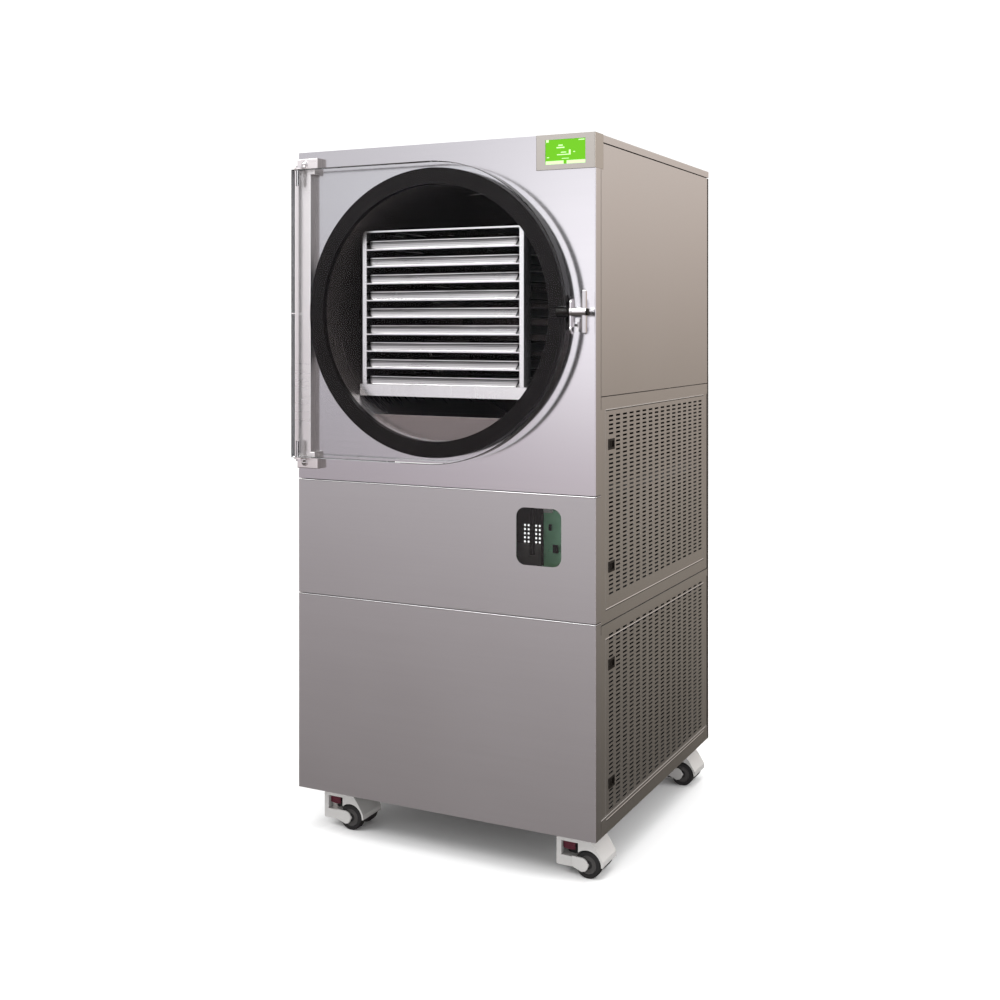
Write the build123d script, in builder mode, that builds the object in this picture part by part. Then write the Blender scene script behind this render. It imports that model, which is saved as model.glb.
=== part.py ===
"""A tall cabinet freeze dryer on levelling casters, built as separate named pieces.

The origin is at the bottom centre of the whole machine. X runs to the right as seen from the front,
Y runs to the back and Z runs up. All sizes are in millimetres.
"""

import os
from math import cos, hypot, radians, sin, sqrt

from build123d import *

os.makedirs("parts", exist_ok=True)

# ---- driving sizes ----
CABINET_WIDTH = 810
CABINET_DEPTH = 838
CABINET_HEIGHT = 1600
CASTER_HEIGHT = 104
SHEET = 1.5  # folded cover sheet
POST = 30  # square of the frame's posts and rails
PAN_DEPTH = 12  # how far the folded covers stand off the frame
TOP_DEPTH = 18  # depth of the top cover's rim
WRAP = 30  # how far the front covers fold round the corners
SEAM = 2  # gap between two neighbouring covers
COVER_GAP = 3  # shadow gap under the top cover's rim
FIT_GAP = 0.3  # gap of a part that drops into a cut-out
RUNNING = 0.05  # radial clearance of a shaft or pin that turns
CUT = 1  # how far a cutter runs past the face that it opens

LOWER_PANEL_HEIGHT = 491
SERVICE_PANEL_TOP = 779
SIDE_LOWER_TOP = 481
SIDE_MIDDLE_TOP = 1002
DECK = 3

TRAY_COUNT = 9
TRAY_PITCH = 41.5
TRAY_WIDTH = 410
TRAY_DEPTH = 540
TRAY_HEIGHT = 20
TRAY_WALL = 1.2
TRAY_ROUND = 12
TRAY_SIDE_GAP = 4  # between a tray's rim and the rack's posts
TRAY_SETBACK = 3  # a tray's front behind its shelf's
SHELF = 3
RACK_FOOT = 28  # height of the rack's base channel
RACK_HEAD = 45  # from the top shelf to the top of the rack
RACK_TOP = 4
RACK_POST = 11
POST_DEPTH = 40
RACK_SETBACK = 22  # the rack's front behind the cabinet's
RACK_CLEAR = 6  # between the rack's corners and the drum

CHAMBER_WALL = 4
CHAMBER_BACK = 6
CHAMBER_SPARE = 50  # depth left behind the rack
CHAMBER_HEIGHT = 1194.5  # chamber centre above the cabinet's bottom edge
DAM_HEIGHT = 59  # the low plate that keeps melt water in the drum
DAM = 2
FLANGE_WIDTH = 26
FLANGE_THICKNESS = 10
GASKET_WALL = 7.7  # rubber round the flange's rim
GASKET_FRONT = 26.7  # how far the gasket's sealing face stands in front of the cabinet

DOOR_THICKNESS = 30
DOOR_OVERLAP = 14  # the door's rim beyond the gasket's
DOOR_SHOULDER = 31  # the door's straight edge, beyond its radius
PIN_RADIUS = 5
PIN_INSET = 15  # hinge pin from the door's straight edge

HINGE_BAR_EDGE = 7  # the bar's left edge beyond the door's
HINGE_BAR_WIDTH = 49
HINGE_END_WIDTH = 61  # the bar's wider ends
HINGE_END_TALL = 43
HINGE_BAR_PROUD = 20
HINGE_BAR_OVERHANG = 30  # bar beyond the door, each end
SCOOP_GAP = 3  # between the bar's scoop and the gasket
EAR = 4

HANDLE_LENGTH = 97
HANDLE_RADIUS = 6.25
HANDLE_REACH = 37  # handle bar's axis from the door's rim
HOOK_REACH = 39
HOOK_THICKNESS = 3

SLOT_LENGTH = 27
SLOT_HEIGHT = 4.6
SLOT_COLUMN = 44.5
SLOT_ROW = 10
FIELD_FRONT = 50  # slot field from the side cover's front edge
FIELD_REAR = 29
RECESS = 1.2  # vented covers are pressed in by this much

VALVE_REACH = 40
VALVE_X = -250
VALVE_HEIGHT = 180

WHEEL_RADIUS = 31
WHEEL_WIDTH = 23
WHEEL_AHEAD = 13  # the wheel's rim from the swivel axis
FOOT_RADIUS = 18
CASTER_SIDE = 83  # swivel axis from the cabinet's side
CASTER_FRONT = 85
CASTER_REAR = 80

# ---- places worked out from them ----
HALF = CABINET_WIDTH / 2
DOOR_BACK = GASKET_FRONT + FIT_GAP
DOOR_PROUD = DOOR_BACK + DOOR_THICKNESS
FRONT = DOOR_PROUD - (DOOR_PROUD + CABINET_DEPTH + VALVE_REACH) / 2
REAR = FRONT + CABINET_DEPTH
BASE = CASTER_HEIGHT
TOP = BASE + CABINET_HEIGHT
LOWER_SEAM = BASE + LOWER_PANEL_HEIGHT
UPPER_SEAM = BASE + SERVICE_PANEL_TOP
SIDE_LOW_SEAM = BASE + SIDE_LOWER_TOP
SIDE_HIGH_SEAM = BASE + SIDE_MIDDLE_TOP
AXIS_Z = BASE + CHAMBER_HEIGHT
FRAME_X = HALF - PAN_DEPTH
FRAME_FRONT = FRONT + PAN_DEPTH
FRAME_REAR = REAR - PAN_DEPTH
FRAME_TOP = TOP - TOP_DEPTH
FRAME_BASE = BASE + DECK
SIDE_FRONT = FRONT + WRAP + SEAM
SIDE_REAR = FRAME_REAR - SEAM
DECK_TOP = LOWER_SEAM + POST / 2 + DECK
POST_INNER = TRAY_WIDTH / 2 + TRAY_SIDE_GAP
POST_OUTER = POST_INNER + RACK_POST
RACK_DEPTH = TRAY_DEPTH + 2 * RACK_POST
RACK_HEIGHT = RACK_FOOT + (TRAY_COUNT - 1) * TRAY_PITCH + RACK_HEAD
CHAMBER_RADIUS = round(hypot(POST_OUTER, RACK_HEIGHT / 2) + RACK_CLEAR)  # inside
CHAMBER_LENGTH = RACK_SETBACK + RACK_DEPTH + CHAMBER_SPARE + CHAMBER_BACK
DRUM_OUTER = CHAMBER_RADIUS + CHAMBER_WALL
FLANGE_RADIUS = DRUM_OUTER + FLANGE_WIDTH
GASKET_RADIUS = FLANGE_RADIUS + FIT_GAP + GASKET_WALL
DOOR_RADIUS = GASKET_RADIUS + DOOR_OVERLAP
DOOR_LEFT = DOOR_RADIUS + DOOR_SHOULDER
HINGE_BAR_LEFT = DOOR_LEFT + HINGE_BAR_EDGE
WHEEL_OFFSET = WHEEL_RADIUS + WHEEL_AHEAD


def block(low, high, mode=Mode.ADD):
    """Adds or cuts a rectangular block between two opposite corners in the open part."""
    centre = tuple((a + b) / 2 for a, b in zip(low, high))
    size = tuple(b - a for a, b in zip(low, high))
    with Locations(centre):
        Box(*size, mode=mode)


def rod(start, direction, radius, length, mode=Mode.ADD):
    """Adds or cuts a round bar that runs from its start point along a direction."""
    with Locations(Plane(origin=start, z_dir=direction)):
        Cylinder(radius, length, align=(Align.CENTER, Align.CENTER, Align.MIN), mode=mode)


def save(part, name):
    """Labels a finished piece and writes it as its own file."""
    part.label = name
    export_step(part, f"parts/{name}.step")


# ---- casters: a plate with its kingpin, a housing, twin wheels and a levelling foot ----
PLATE_HALF = 38
PLATE = 4
BEARING = 3
BEARING_RADIUS = 26
BEARING_TOP = CASTER_HEIGHT - PLATE
HOUSING_TOP = BEARING_TOP - BEARING
KINGPIN_RADIUS = 9
KINGPIN_LENGTH = 16
HOUSING_FRONT = -33  # the housing's flat end, in front of the swivel axis
HOUSING_BASE = 22
HOUSING_BEVEL = 10
HOUSING_ROUND = 4
FENDER_GAP = 3
FENDER_WALL = 4
FENDER_RADIUS = WHEEL_RADIUS + FENDER_GAP
FENDER_SHOULDER = 35  # degrees from upright
FENDER_SKIRT = 12  # the fender's upright end above the axle
WEB_DROP = 9  # the web's lowest point below the axle
WHEEL_GAP = 1  # beside each wheel
TREAD_BEVEL = 2.5
TREAD_DEPTH = 9
DISH_DEPTH = 3
HUB_WALL = 5
HUB_TALL = 4
AXLE_RADIUS = 5
WEB_HALF = FOOT_RADIUS + WHEEL_GAP  # half the housing's web between the wheels
CASTER_HALF = WEB_HALF + WHEEL_WIDTH
FOOT_CLEAR = 8.5  # raised foot above the floor
FOOT_TRAVEL = 12
FOOT_BEVEL = 2
DIAL_RADIUS = FOOT_RADIUS + 3
DIAL_HEIGHT = 18
STEM_RADIUS = 6
STEM_ABOVE = 5  # stem above the dial
STEM_GAP = 2.5  # between the stem and the kingpin
DIAL_TOP = BEARING_TOP - KINGPIN_LENGTH - STEM_GAP - STEM_ABOVE
DIAL_BASE = DIAL_TOP - DIAL_HEIGHT
FOOT_HEIGHT = DIAL_BASE - FOOT_CLEAR
BORE_GAP = 1.5  # round the foot and its dial
CASTER_CENTRES = {
    "front_left": (-(HALF - CASTER_SIDE), FRONT + CASTER_FRONT),
    "front_right": (HALF - CASTER_SIDE, FRONT + CASTER_FRONT),
    "rear_left": (-(HALF - CASTER_SIDE), REAR - CASTER_REAR),
    "rear_right": (HALF - CASTER_SIDE, REAR - CASTER_REAR),
}

with BuildPart() as caster_mount_plates:
    for x, y in CASTER_CENTRES.values():
        block((x - PLATE_HALF, y - PLATE_HALF, BEARING_TOP), (x + PLATE_HALF, y + PLATE_HALF, BASE))
        rod((x, y, HOUSING_TOP + FIT_GAP), (0, 0, 1), BEARING_RADIUS, BEARING_TOP - HOUSING_TOP)
        rod((x, y, BEARING_TOP), (0, 0, -1), KINGPIN_RADIUS, KINGPIN_LENGTH)
save(caster_mount_plates.part, "caster_mount_plates")


def caster_housing(x, y):
    """A cast shell: a dial housing in front, a web between the wheels and a fender over both."""
    wheel_x = x + WHEEL_OFFSET
    fender_outer = FENDER_RADIUS + FENDER_WALL
    shoulder = fender_outer * sin(radians(FENDER_SHOULDER))
    wheel_room = WHEEL_WIDTH + WHEEL_GAP
    with BuildPart() as housing:
        with BuildSketch(Plane.XZ.offset(-(y + CASTER_HALF))):
            with BuildLine():
                Polyline(
                    (x + HOUSING_FRONT, HOUSING_BASE),
                    (x + HOUSING_FRONT, HOUSING_TOP - HOUSING_BEVEL),
                    (x + HOUSING_FRONT + HOUSING_BEVEL, HOUSING_TOP),
                    (wheel_x, HOUSING_TOP),
                    (wheel_x + shoulder, WHEEL_RADIUS + fender_outer),
                    (wheel_x + fender_outer, WHEEL_RADIUS + FENDER_SKIRT),
                    (wheel_x + fender_outer, WHEEL_RADIUS),
                    (wheel_x, WHEEL_RADIUS - WEB_DROP),
                    (x, HOUSING_BASE),
                    close=True,
                )
            make_face()
        extrude(amount=2 * CASTER_HALF)
        for side in (-1, 1):
            outer = y + side * CASTER_HALF
            rod((wheel_x, outer, WHEEL_RADIUS), (0, -side, 0), FENDER_RADIUS, wheel_room, Mode.SUBTRACT)
        fillet(housing.edges().filter_by(Axis.Y).group_by(Axis.X)[0], HOUSING_ROUND)
        window_base = DIAL_BASE - FOOT_TRAVEL - BORE_GAP
        window_top = DIAL_TOP + BORE_GAP
        window_tall = window_top - window_base
        block(
            (x + HOUSING_FRONT - CUT, y - DIAL_RADIUS, window_base),
            (x, y + DIAL_RADIUS, window_top),
            Mode.SUBTRACT,
        )
        block(
            (x - DIAL_RADIUS, y - CASTER_HALF - CUT, window_base),
            (x + DIAL_RADIUS, y + CASTER_HALF + CUT, window_top),
            Mode.SUBTRACT,
        )
        rod((x, y, window_base), (0, 0, 1), DIAL_RADIUS + BORE_GAP, window_tall, Mode.SUBTRACT)
        rod((x, y, 0), (0, 0, 1), FOOT_RADIUS + BORE_GAP, DIAL_BASE, Mode.SUBTRACT)
        rod((x, y, window_top), (0, 0, 1), STEM_RADIUS + RUNNING, STEM_ABOVE, Mode.SUBTRACT)
        pin_top = (x, y, HOUSING_TOP + CUT)
        rod(pin_top, (0, 0, -1), KINGPIN_RADIUS + RUNNING, KINGPIN_LENGTH, Mode.SUBTRACT)
        axle_start = (wheel_x, y - CASTER_HALF, WHEEL_RADIUS)
        rod(axle_start, (0, 1, 0), AXLE_RADIUS + RUNNING, 2 * CASTER_HALF, Mode.SUBTRACT)
    return housing.part


def caster_wheels(x, y):
    """Two hard treaded wheels pressed on one axle."""
    wheel_x = x + WHEEL_OFFSET
    with BuildPart() as wheels:
        faces = [(side, (wheel_x, y + side * (CASTER_HALF - WHEEL_GAP), WHEEL_RADIUS)) for side in (-1, 1)]
        for side, face in faces:
            rod(face, (0, -side, 0), WHEEL_RADIUS, WHEEL_WIDTH - WHEEL_GAP)
        chamfer(wheels.edges().filter_by(GeomType.CIRCLE), TREAD_BEVEL)
        for side, face in faces:
            rod(face, (0, -side, 0), WHEEL_RADIUS - TREAD_DEPTH, DISH_DEPTH, Mode.SUBTRACT)
            rod(face, (0, -side, 0), AXLE_RADIUS + HUB_WALL, HUB_TALL)
        axle_half = WEB_HALF - FIT_GAP
        rod((wheel_x, y - axle_half, WHEEL_RADIUS), (0, 1, 0), AXLE_RADIUS, 2 * axle_half)
    return wheels.part


def levelling_foot(x, y):
    """A rubber foot under the thumb dial that screws it down, with the end of its stem on top."""
    with BuildPart() as foot:
        rod((x, y, FOOT_CLEAR), (0, 0, 1), FOOT_RADIUS, FOOT_HEIGHT)
        chamfer(foot.edges().filter_by(GeomType.CIRCLE).group_by(Axis.Z)[0], FOOT_BEVEL)
        rod((x, y, DIAL_BASE), (0, 0, 1), DIAL_RADIUS, DIAL_HEIGHT)
        rod((x, y, DIAL_TOP), (0, 0, 1), STEM_RADIUS, STEM_ABOVE)
    return foot.part


for corner, (x, y) in CASTER_CENTRES.items():
    save(caster_housing(x, y), f"caster_housing_{corner}")
    save(caster_wheels(x, y), f"caster_wheels_{corner}")
    save(levelling_foot(x, y), f"levelling_foot_{corner}")

# ---- frame: welded square tube, with a deck, cross rails and two saddles for the chamber ----
SADDLE_T = 6
SADDLE_HALF = 180
SADDLE_SETBACKS = (130, 530)
SADDLE_RADIUS = DRUM_OUTER + FIT_GAP
TUBE_WALL = 2
ring_levels = (FRAME_BASE, LOWER_SEAM - POST / 2, UPPER_SEAM - POST / 2, FRAME_TOP - POST)
side_levels = (*ring_levels, SIDE_HIGH_SEAM - POST / 2)
saddle_rail = UPPER_SEAM - POST / 2
near_and_far = (FRAME_FRONT, FRAME_REAR - POST)
left_and_right = (-FRAME_X, FRAME_X - POST)
posts = [
    ((x, y, FRAME_BASE), (x + POST, y + POST, FRAME_TOP)) for x in left_and_right for y in near_and_far
]
cross_rails = [
    ((-FRAME_X, y, z), (FRAME_X, y + POST, z + POST)) for z in ring_levels for y in near_and_far
]
side_rails = [
    ((x, FRAME_FRONT, z), (x + POST, FRAME_REAR, z + POST)) for z in side_levels for x in left_and_right
]
saddle_rails = [
    ((-FRAME_X, FRONT + y - POST / 2, saddle_rail), (FRAME_X, FRONT + y + POST / 2, saddle_rail + POST))
    for y in SADDLE_SETBACKS
]
tubes = posts + cross_rails + side_rails + saddle_rails

with BuildPart() as cabinet_frame:
    for low, high in tubes:
        block(low, high)
    for setback in SADDLE_SETBACKS:
        y = FRONT + setback
        saddle_top = AXIS_Z - sqrt(SADDLE_RADIUS**2 - SADDLE_HALF**2)
        block(
            (-SADDLE_HALF, y - SADDLE_T / 2, saddle_rail + POST),
            (SADDLE_HALF, y + SADDLE_T / 2, saddle_top),
        )
    rod((0, FRONT, AXIS_Z), (0, 1, 0), SADDLE_RADIUS, CABINET_DEPTH, Mode.SUBTRACT)
    block((-FRAME_X, FRAME_FRONT, DECK_TOP - DECK), (FRAME_X, FRAME_REAR, DECK_TOP))
    for low, high in tubes:
        inner_low = tuple(value + TUBE_WALL for value in low)
        inner_high = tuple(value - TUBE_WALL for value in high)
        block(inner_low, inner_high, Mode.SUBTRACT)
    for (x, y, z), _ in posts:
        inner = POST - TUBE_WALL
        block((x + TUBE_WALL, y + TUBE_WALL, z - CUT), (x + inner, y + inner, z + POST), Mode.SUBTRACT)
save(cabinet_frame.part, "cabinet_frame")

# ---- floor pan: a folded plate that carries the frame, the casters and the compressor ----
FLOOR_SLOT = (120, 8)
FLOOR_SLOT_PITCH = (150, 24)
FLOOR_SLOT_COUNT = (3, 7)
with BuildPart() as floor_pan:
    with BuildSketch(Plane.XY.offset(BASE)):
        with Locations((0, (FRAME_FRONT + FRAME_REAR) / 2)):
            Rectangle(2 * FRAME_X - FIT_GAP, FRAME_REAR - FRAME_FRONT - FIT_GAP)
            with GridLocations(*FLOOR_SLOT_PITCH, *FLOOR_SLOT_COUNT):
                SlotOverall(*FLOOR_SLOT, mode=Mode.SUBTRACT)
    extrude(amount=DECK)
save(floor_pan.part, "floor_pan")

# ---- front covers: three folded stainless pans that wrap round the corners ----
COVER_ROUND = 2.5
HALF_SEAM = SEAM / 2
FASCIA_GAP = 1.5  # round the drum
SCREEN_WIDTH = 99
SCREEN_TALL = 56
BEZEL_SIDE = 24  # bezel beside the screen
BEZEL_BAND = 12  # bezel above and below the screen
BEZEL_WRAP = 45
BEZEL_PROUD = 4
BEZEL_X = HALF - SCREEN_WIDTH - 2 * BEZEL_SIDE
BEZEL_Z = TOP - SCREEN_TALL - 2 * BEZEL_BAND
WINDOW_INSET = 142  # the window's centre from the cabinet's right side
WINDOW_RISE = 678  # and above its bottom edge
WINDOW_X = HALF - WINDOW_INSET
WINDOW_Z = BASE + WINDOW_RISE
WINDOW_WIDTH = 114
WINDOW_TALL = 133
WINDOW_ROUND = 22


def front_pan(low, high):
    """Adds a front cover between two heights: a sheet with returns folded back along its edges."""
    block((-HALF, FRONT, low), (HALF, FRONT + WRAP, high))
    inner_x = HALF - SHEET
    block((-inner_x, FRONT + SHEET, low + SHEET), (inner_x, FRONT + WRAP, high - SHEET), Mode.SUBTRACT)


def open_edge(z):
    """Cuts a front cover's return back to the frame at the given height."""
    inner_x = HALF - SHEET
    block(
        (-inner_x, FRAME_FRONT, z - 2 * SHEET),
        (inner_x, FRONT + WRAP, z + 2 * SHEET),
        Mode.SUBTRACT,
    )


with BuildPart() as fascia_panel:
    front_pan(UPPER_SEAM + HALF_SEAM, TOP)
    open_edge(UPPER_SEAM + HALF_SEAM)
    fillet(fascia_panel.edges().filter_by(Axis.Z).group_by(Axis.Y)[0], COVER_ROUND)
    block(
        (BEZEL_X - FIT_GAP, FRONT - CUT, BEZEL_Z - FIT_GAP),
        (HALF + CUT, FRONT + WRAP, TOP + CUT),
        Mode.SUBTRACT,
    )
    rod((0, FRONT - CUT, AXIS_Z), (0, 1, 0), DRUM_OUTER + FASCIA_GAP, SHEET + 2 * CUT, Mode.SUBTRACT)
save(fascia_panel.part, "fascia_panel")

with BuildPart() as service_panel:
    front_pan(LOWER_SEAM + HALF_SEAM, UPPER_SEAM - HALF_SEAM)
    open_edge(LOWER_SEAM + HALF_SEAM)
    open_edge(UPPER_SEAM - HALF_SEAM)
    fillet(service_panel.edges().filter_by(Axis.Z).group_by(Axis.Y)[0], COVER_ROUND)
    with BuildSketch(Plane.XZ.offset(-FRONT)):
        with Locations((WINDOW_X, WINDOW_Z)):
            RectangleRounded(WINDOW_WIDTH, WINDOW_TALL, WINDOW_ROUND)
    extrude(amount=-2 * SHEET, mode=Mode.SUBTRACT)
save(service_panel.part, "service_panel")

with BuildPart() as lower_front_panel:
    front_pan(BASE, LOWER_SEAM - HALF_SEAM)
    open_edge(BASE)
    open_edge(LOWER_SEAM - HALF_SEAM)
    fillet(lower_front_panel.edges().filter_by(Axis.Z).group_by(Axis.Y)[0], COVER_ROUND)
save(lower_front_panel.part, "lower_front_panel")

# ---- window: a clear pane with a lip behind the service cover ----
PANE = 3
PANE_LIP = 10
with BuildPart() as window_pane:
    for grow, thickness in ((PANE_LIP, -PANE), (-FIT_GAP, SHEET - FIT_GAP)):
        with BuildSketch(Plane.XZ.offset(-FRONT - SHEET)):
            with Locations((WINDOW_X, WINDOW_Z)):
                RectangleRounded(WINDOW_WIDTH + 2 * grow, WINDOW_TALL + 2 * grow, WINDOW_ROUND + grow)
        extrude(amount=thickness)
save(window_pane.part, "window_pane")

# ---- display: a bezel that wraps the top right corner, with a touch screen in it ----
SCREEN_DEPTH = 6
SCREEN_SUNK = 0.8
SCREEN_LIP = 5  # round the screen, behind the bezel
SCREEN_BEVEL = 0.4
BEZEL_SHEET = 3
BEZEL_ROUND = 2.5
screen_x = (BEZEL_X + HALF) / 2
screen_z = (BEZEL_Z + TOP) / 2
bezel_front = FRONT - BEZEL_PROUD
with BuildPart() as display_bezel:
    block((BEZEL_X, bezel_front, BEZEL_Z), (HALF, FRONT + BEZEL_WRAP, TOP))
    block(
        (BEZEL_X - CUT, bezel_front + BEZEL_SHEET, BEZEL_Z - CUT),
        (HALF - BEZEL_SHEET, FRONT + BEZEL_WRAP + CUT, TOP - BEZEL_SHEET),
        Mode.SUBTRACT,
    )
    fillet(display_bezel.edges().filter_by(Axis.Z).group_by(Axis.Y)[0], BEZEL_ROUND)
    with BuildSketch(Plane.XZ.offset(-bezel_front)):
        with Locations((screen_x, screen_z)):
            Rectangle(SCREEN_WIDTH + FIT_GAP, SCREEN_TALL + FIT_GAP)
    extrude(amount=-2 * BEZEL_SHEET, mode=Mode.SUBTRACT)
save(display_bezel.part, "display_bezel")

with BuildPart() as touch_screen:
    for grow, y in ((0, bezel_front + SCREEN_SUNK), (SCREEN_LIP, bezel_front + BEZEL_SHEET)):
        half_x, half_z = SCREEN_WIDTH / 2 + grow, SCREEN_TALL / 2 + grow
        block(
            (screen_x - half_x, y, screen_z - half_z),
            (screen_x + half_x, y + SCREEN_DEPTH, screen_z + half_z),
        )
    chamfer(touch_screen.faces().sort_by(Axis.Y)[0].edges(), SCREEN_BEVEL)
save(touch_screen.part, "touch_screen")

# ---- top cover: a folded lid behind the front covers, notched for the bezel ----
BEZEL_BACK = FRONT + BEZEL_WRAP + FIT_GAP
with BuildPart() as top_cover:
    block((-HALF, FRONT + WRAP + FIT_GAP, FRAME_TOP), (HALF, REAR, TOP))
    fillet(top_cover.edges().filter_by(Axis.Y).group_by(Axis.Z)[-1], COVER_ROUND)
    block(
        (-HALF + SHEET, FRONT + WRAP + FIT_GAP - CUT, FRAME_TOP - CUT),
        (HALF - SHEET, REAR - SHEET, TOP - SHEET),
        Mode.SUBTRACT,
    )
    block(
        (BEZEL_X - FIT_GAP, FRONT, FRAME_TOP - CUT),
        (HALF + CUT, BEZEL_BACK, TOP + CUT),
        Mode.SUBTRACT,
    )
save(top_cover.part, "top_cover")

# ---- side covers: folded pans; the vented ones are pressed in and filled with short slots ----
TOP_BAND = {"middle": 28, "lower": 20}
BOTTOM_BAND = 38
LATCH_SETBACK = 97.5  # panel latches behind the cabinet's front
LATCH_LENGTH = 37
LATCH_TALL = 25
LATCH_LIP = 2
VENT_CLEAR = 3  # sheet left between a latch and the nearest slots
LATCH_Y = FRONT + LATCH_SETBACK
LATCH_HEIGHTS = [BASE + z for z in (108, 382, 607, 890)]
VENT_FIELDS = {"lower": (BASE + 48, BASE + 458), "middle": (BASE + 543, BASE + 970)}


def slot_centres(low, high, keep_out):
    """Slot centres in rows over the side cover's depth, clear of the latches."""
    first = SIDE_FRONT + FIELD_FRONT
    last = SIDE_REAR - FIELD_REAR
    columns = int((last - first - SLOT_LENGTH) // SLOT_COLUMN) + 1
    rows = int((high - low) // SLOT_ROW)
    margin = SLOT_LENGTH / 2 + LATCH_LENGTH / 2 + VENT_CLEAR
    centres = []
    for i in range(columns):
        y = first + SLOT_LENGTH / 2 + i * SLOT_COLUMN
        for j in range(rows):
            z = low + j * SLOT_ROW + SLOT_HEIGHT / 2
            near = [h for h in keep_out if abs(z - h) < LATCH_TALL / 2 + SLOT_ROW / 2]
            if near and abs(y - LATCH_Y) < margin:
                continue
            centres.append((y, z))
    return centres


def slot_wire(centre, length, height):
    """A rectangular hole's outline in the side cover's plane, given as depth and height."""
    y, z = centre
    half_y, half_z = length / 2, height / 2
    corners = ((-half_y, -half_z), (half_y, -half_z), (half_y, half_z), (-half_y, half_z))
    return [(y + dy, z + dz) for dy, dz in corners]


def side_pan(side, low, high, recess=0, bands=(), holes=()):
    """Adds a side cover's returns, its raised bands and its sheet with all of its holes.

    side is 1 on the right and -1 on the left; bands are raised strips and holes are outlines.
    """
    face, skin, inner = (side * x for x in (HALF - recess, HALF - recess - SHEET, FRAME_X))
    near, far = min(skin, inner), max(skin, inner)
    for z in (low, high - SHEET):
        block((near, SIDE_FRONT, z), (far, SIDE_REAR, z + SHEET))
    for y in (SIDE_FRONT, SIDE_REAR - SHEET):
        block((near, y, low), (far, y + SHEET, high))
    for band_low, band_high in bands:
        outer = side * HALF
        block((min(face, outer), SIDE_FRONT, band_low), (max(face, outer), SIDE_REAR, band_high))
    outline = [(SIDE_FRONT, low), (SIDE_REAR, low), (SIDE_REAR, high), (SIDE_FRONT, high)]
    wires = [Wire.make_polygon([(skin, y, z) for y, z in loop]) for loop in (outline, *holes)]
    sheet = Solid.extrude(Face(wires[0], wires[1:]), Vector(face - skin, 0, 0))
    add(sheet, clean=False)


def vent_holes(fields, keep_out=()):
    """The outlines of every vent slot in the given fields."""
    return [
        slot_wire(centre, SLOT_LENGTH, SLOT_HEIGHT)
        for low, high in fields
        for centre in slot_centres(low, high, keep_out)
    ]


def latch_openings(low, high):
    """The outlines of the cut-outs that the flush latches drop into, between two heights."""
    length = LATCH_LENGTH - 2 * LATCH_LIP + 2 * FIT_GAP
    tall = LATCH_TALL - 2 * LATCH_LIP + 2 * FIT_GAP
    return [slot_wire((LATCH_Y, z), length, tall) for z in LATCH_HEIGHTS if low < z < high]


with BuildPart() as right_upper_panel:
    side_pan(1, SIDE_HIGH_SEAM + HALF_SEAM, FRAME_TOP - COVER_GAP)
    block((FRAME_X - CUT, FRONT, BEZEL_Z - FIT_GAP), (HALF + CUT, BEZEL_BACK, TOP), Mode.SUBTRACT)
save(right_upper_panel.part, "right_upper_panel")

with BuildPart() as right_middle_grille:
    low, high = SIDE_LOW_SEAM + HALF_SEAM, SIDE_HIGH_SEAM - HALF_SEAM
    bands = [(high - TOP_BAND["middle"], high)]
    holes = vent_holes([VENT_FIELDS["middle"]], LATCH_HEIGHTS) + latch_openings(low, high)
    side_pan(1, low, high, RECESS, bands, holes)
save(right_middle_grille.part, "right_middle_grille")

with BuildPart() as right_lower_grille:
    low, high = BASE, SIDE_LOW_SEAM - HALF_SEAM
    bands = [(high - TOP_BAND["lower"], high), (low, low + BOTTOM_BAND)]
    holes = vent_holes([VENT_FIELDS["lower"]], LATCH_HEIGHTS) + latch_openings(low, high)
    side_pan(1, low, high, RECESS, bands, holes)
save(right_lower_grille.part, "right_lower_grille")

with BuildPart() as left_side_panel:
    side_pan(-1, BASE, FRAME_TOP - COVER_GAP, holes=vent_holes(VENT_FIELDS.values()))
save(left_side_panel.part, "left_side_panel")

# ---- panel latches: flush plastic housings, each with a finger slide ----
LATCH_DEPTH = 8
POCKET_LENGTH = 27
POCKET_TALL = 15
POCKET_DEPTH = 6
SLIDER_LENGTH = 17
SLIDER_SUNK = 0.8
GRIP_COUNT = 4
GRIP = 1.6
GRIP_DEPTH = 1.2
latch_face = HALF - RECESS
pocket_floor = HALF - POCKET_DEPTH

with BuildPart() as panel_latch_housings:
    for z in LATCH_HEIGHTS:
        half_y, half_z = LATCH_LENGTH / 2, LATCH_TALL / 2
        block((latch_face, LATCH_Y - half_y, z - half_z), (HALF, LATCH_Y + half_y, z + half_z))
        body_y, body_z = half_y - LATCH_LIP, half_z - LATCH_LIP
        block((HALF - LATCH_DEPTH, LATCH_Y - body_y, z - body_z), (latch_face, LATCH_Y + body_y, z + body_z))
        pocket_y, pocket_z = POCKET_LENGTH / 2, POCKET_TALL / 2
        block(
            (pocket_floor, LATCH_Y - pocket_y, z - pocket_z),
            (HALF + CUT, LATCH_Y + pocket_y, z + pocket_z),
            Mode.SUBTRACT,
        )
save(panel_latch_housings.part, "panel_latch_housings")


def latch_slider(z):
    """A finger slide with grip ribs, at the front end of its pocket."""
    start = LATCH_Y - POCKET_LENGTH / 2 + FIT_GAP
    half_z = POCKET_TALL / 2 - FIT_GAP
    floor = pocket_floor + FIT_GAP
    face = HALF - SLIDER_SUNK
    grip_z = half_z + CUT
    with BuildPart() as slider:
        block((floor, start, z - half_z), (face, start + SLIDER_LENGTH, z + half_z))
        pitch = SLIDER_LENGTH / (GRIP_COUNT + 1)
        for i in range(GRIP_COUNT):
            y = start + pitch * (i + 1)
            low = (face - GRIP_DEPTH, y - GRIP / 2, z - grip_z)
            block(low, (HALF, y + GRIP / 2, z + grip_z), Mode.SUBTRACT)
    return slider.part


for i, z in enumerate(LATCH_HEIGHTS, 1):
    save(latch_slider(z), f"panel_latch_slider_{i}")

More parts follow.
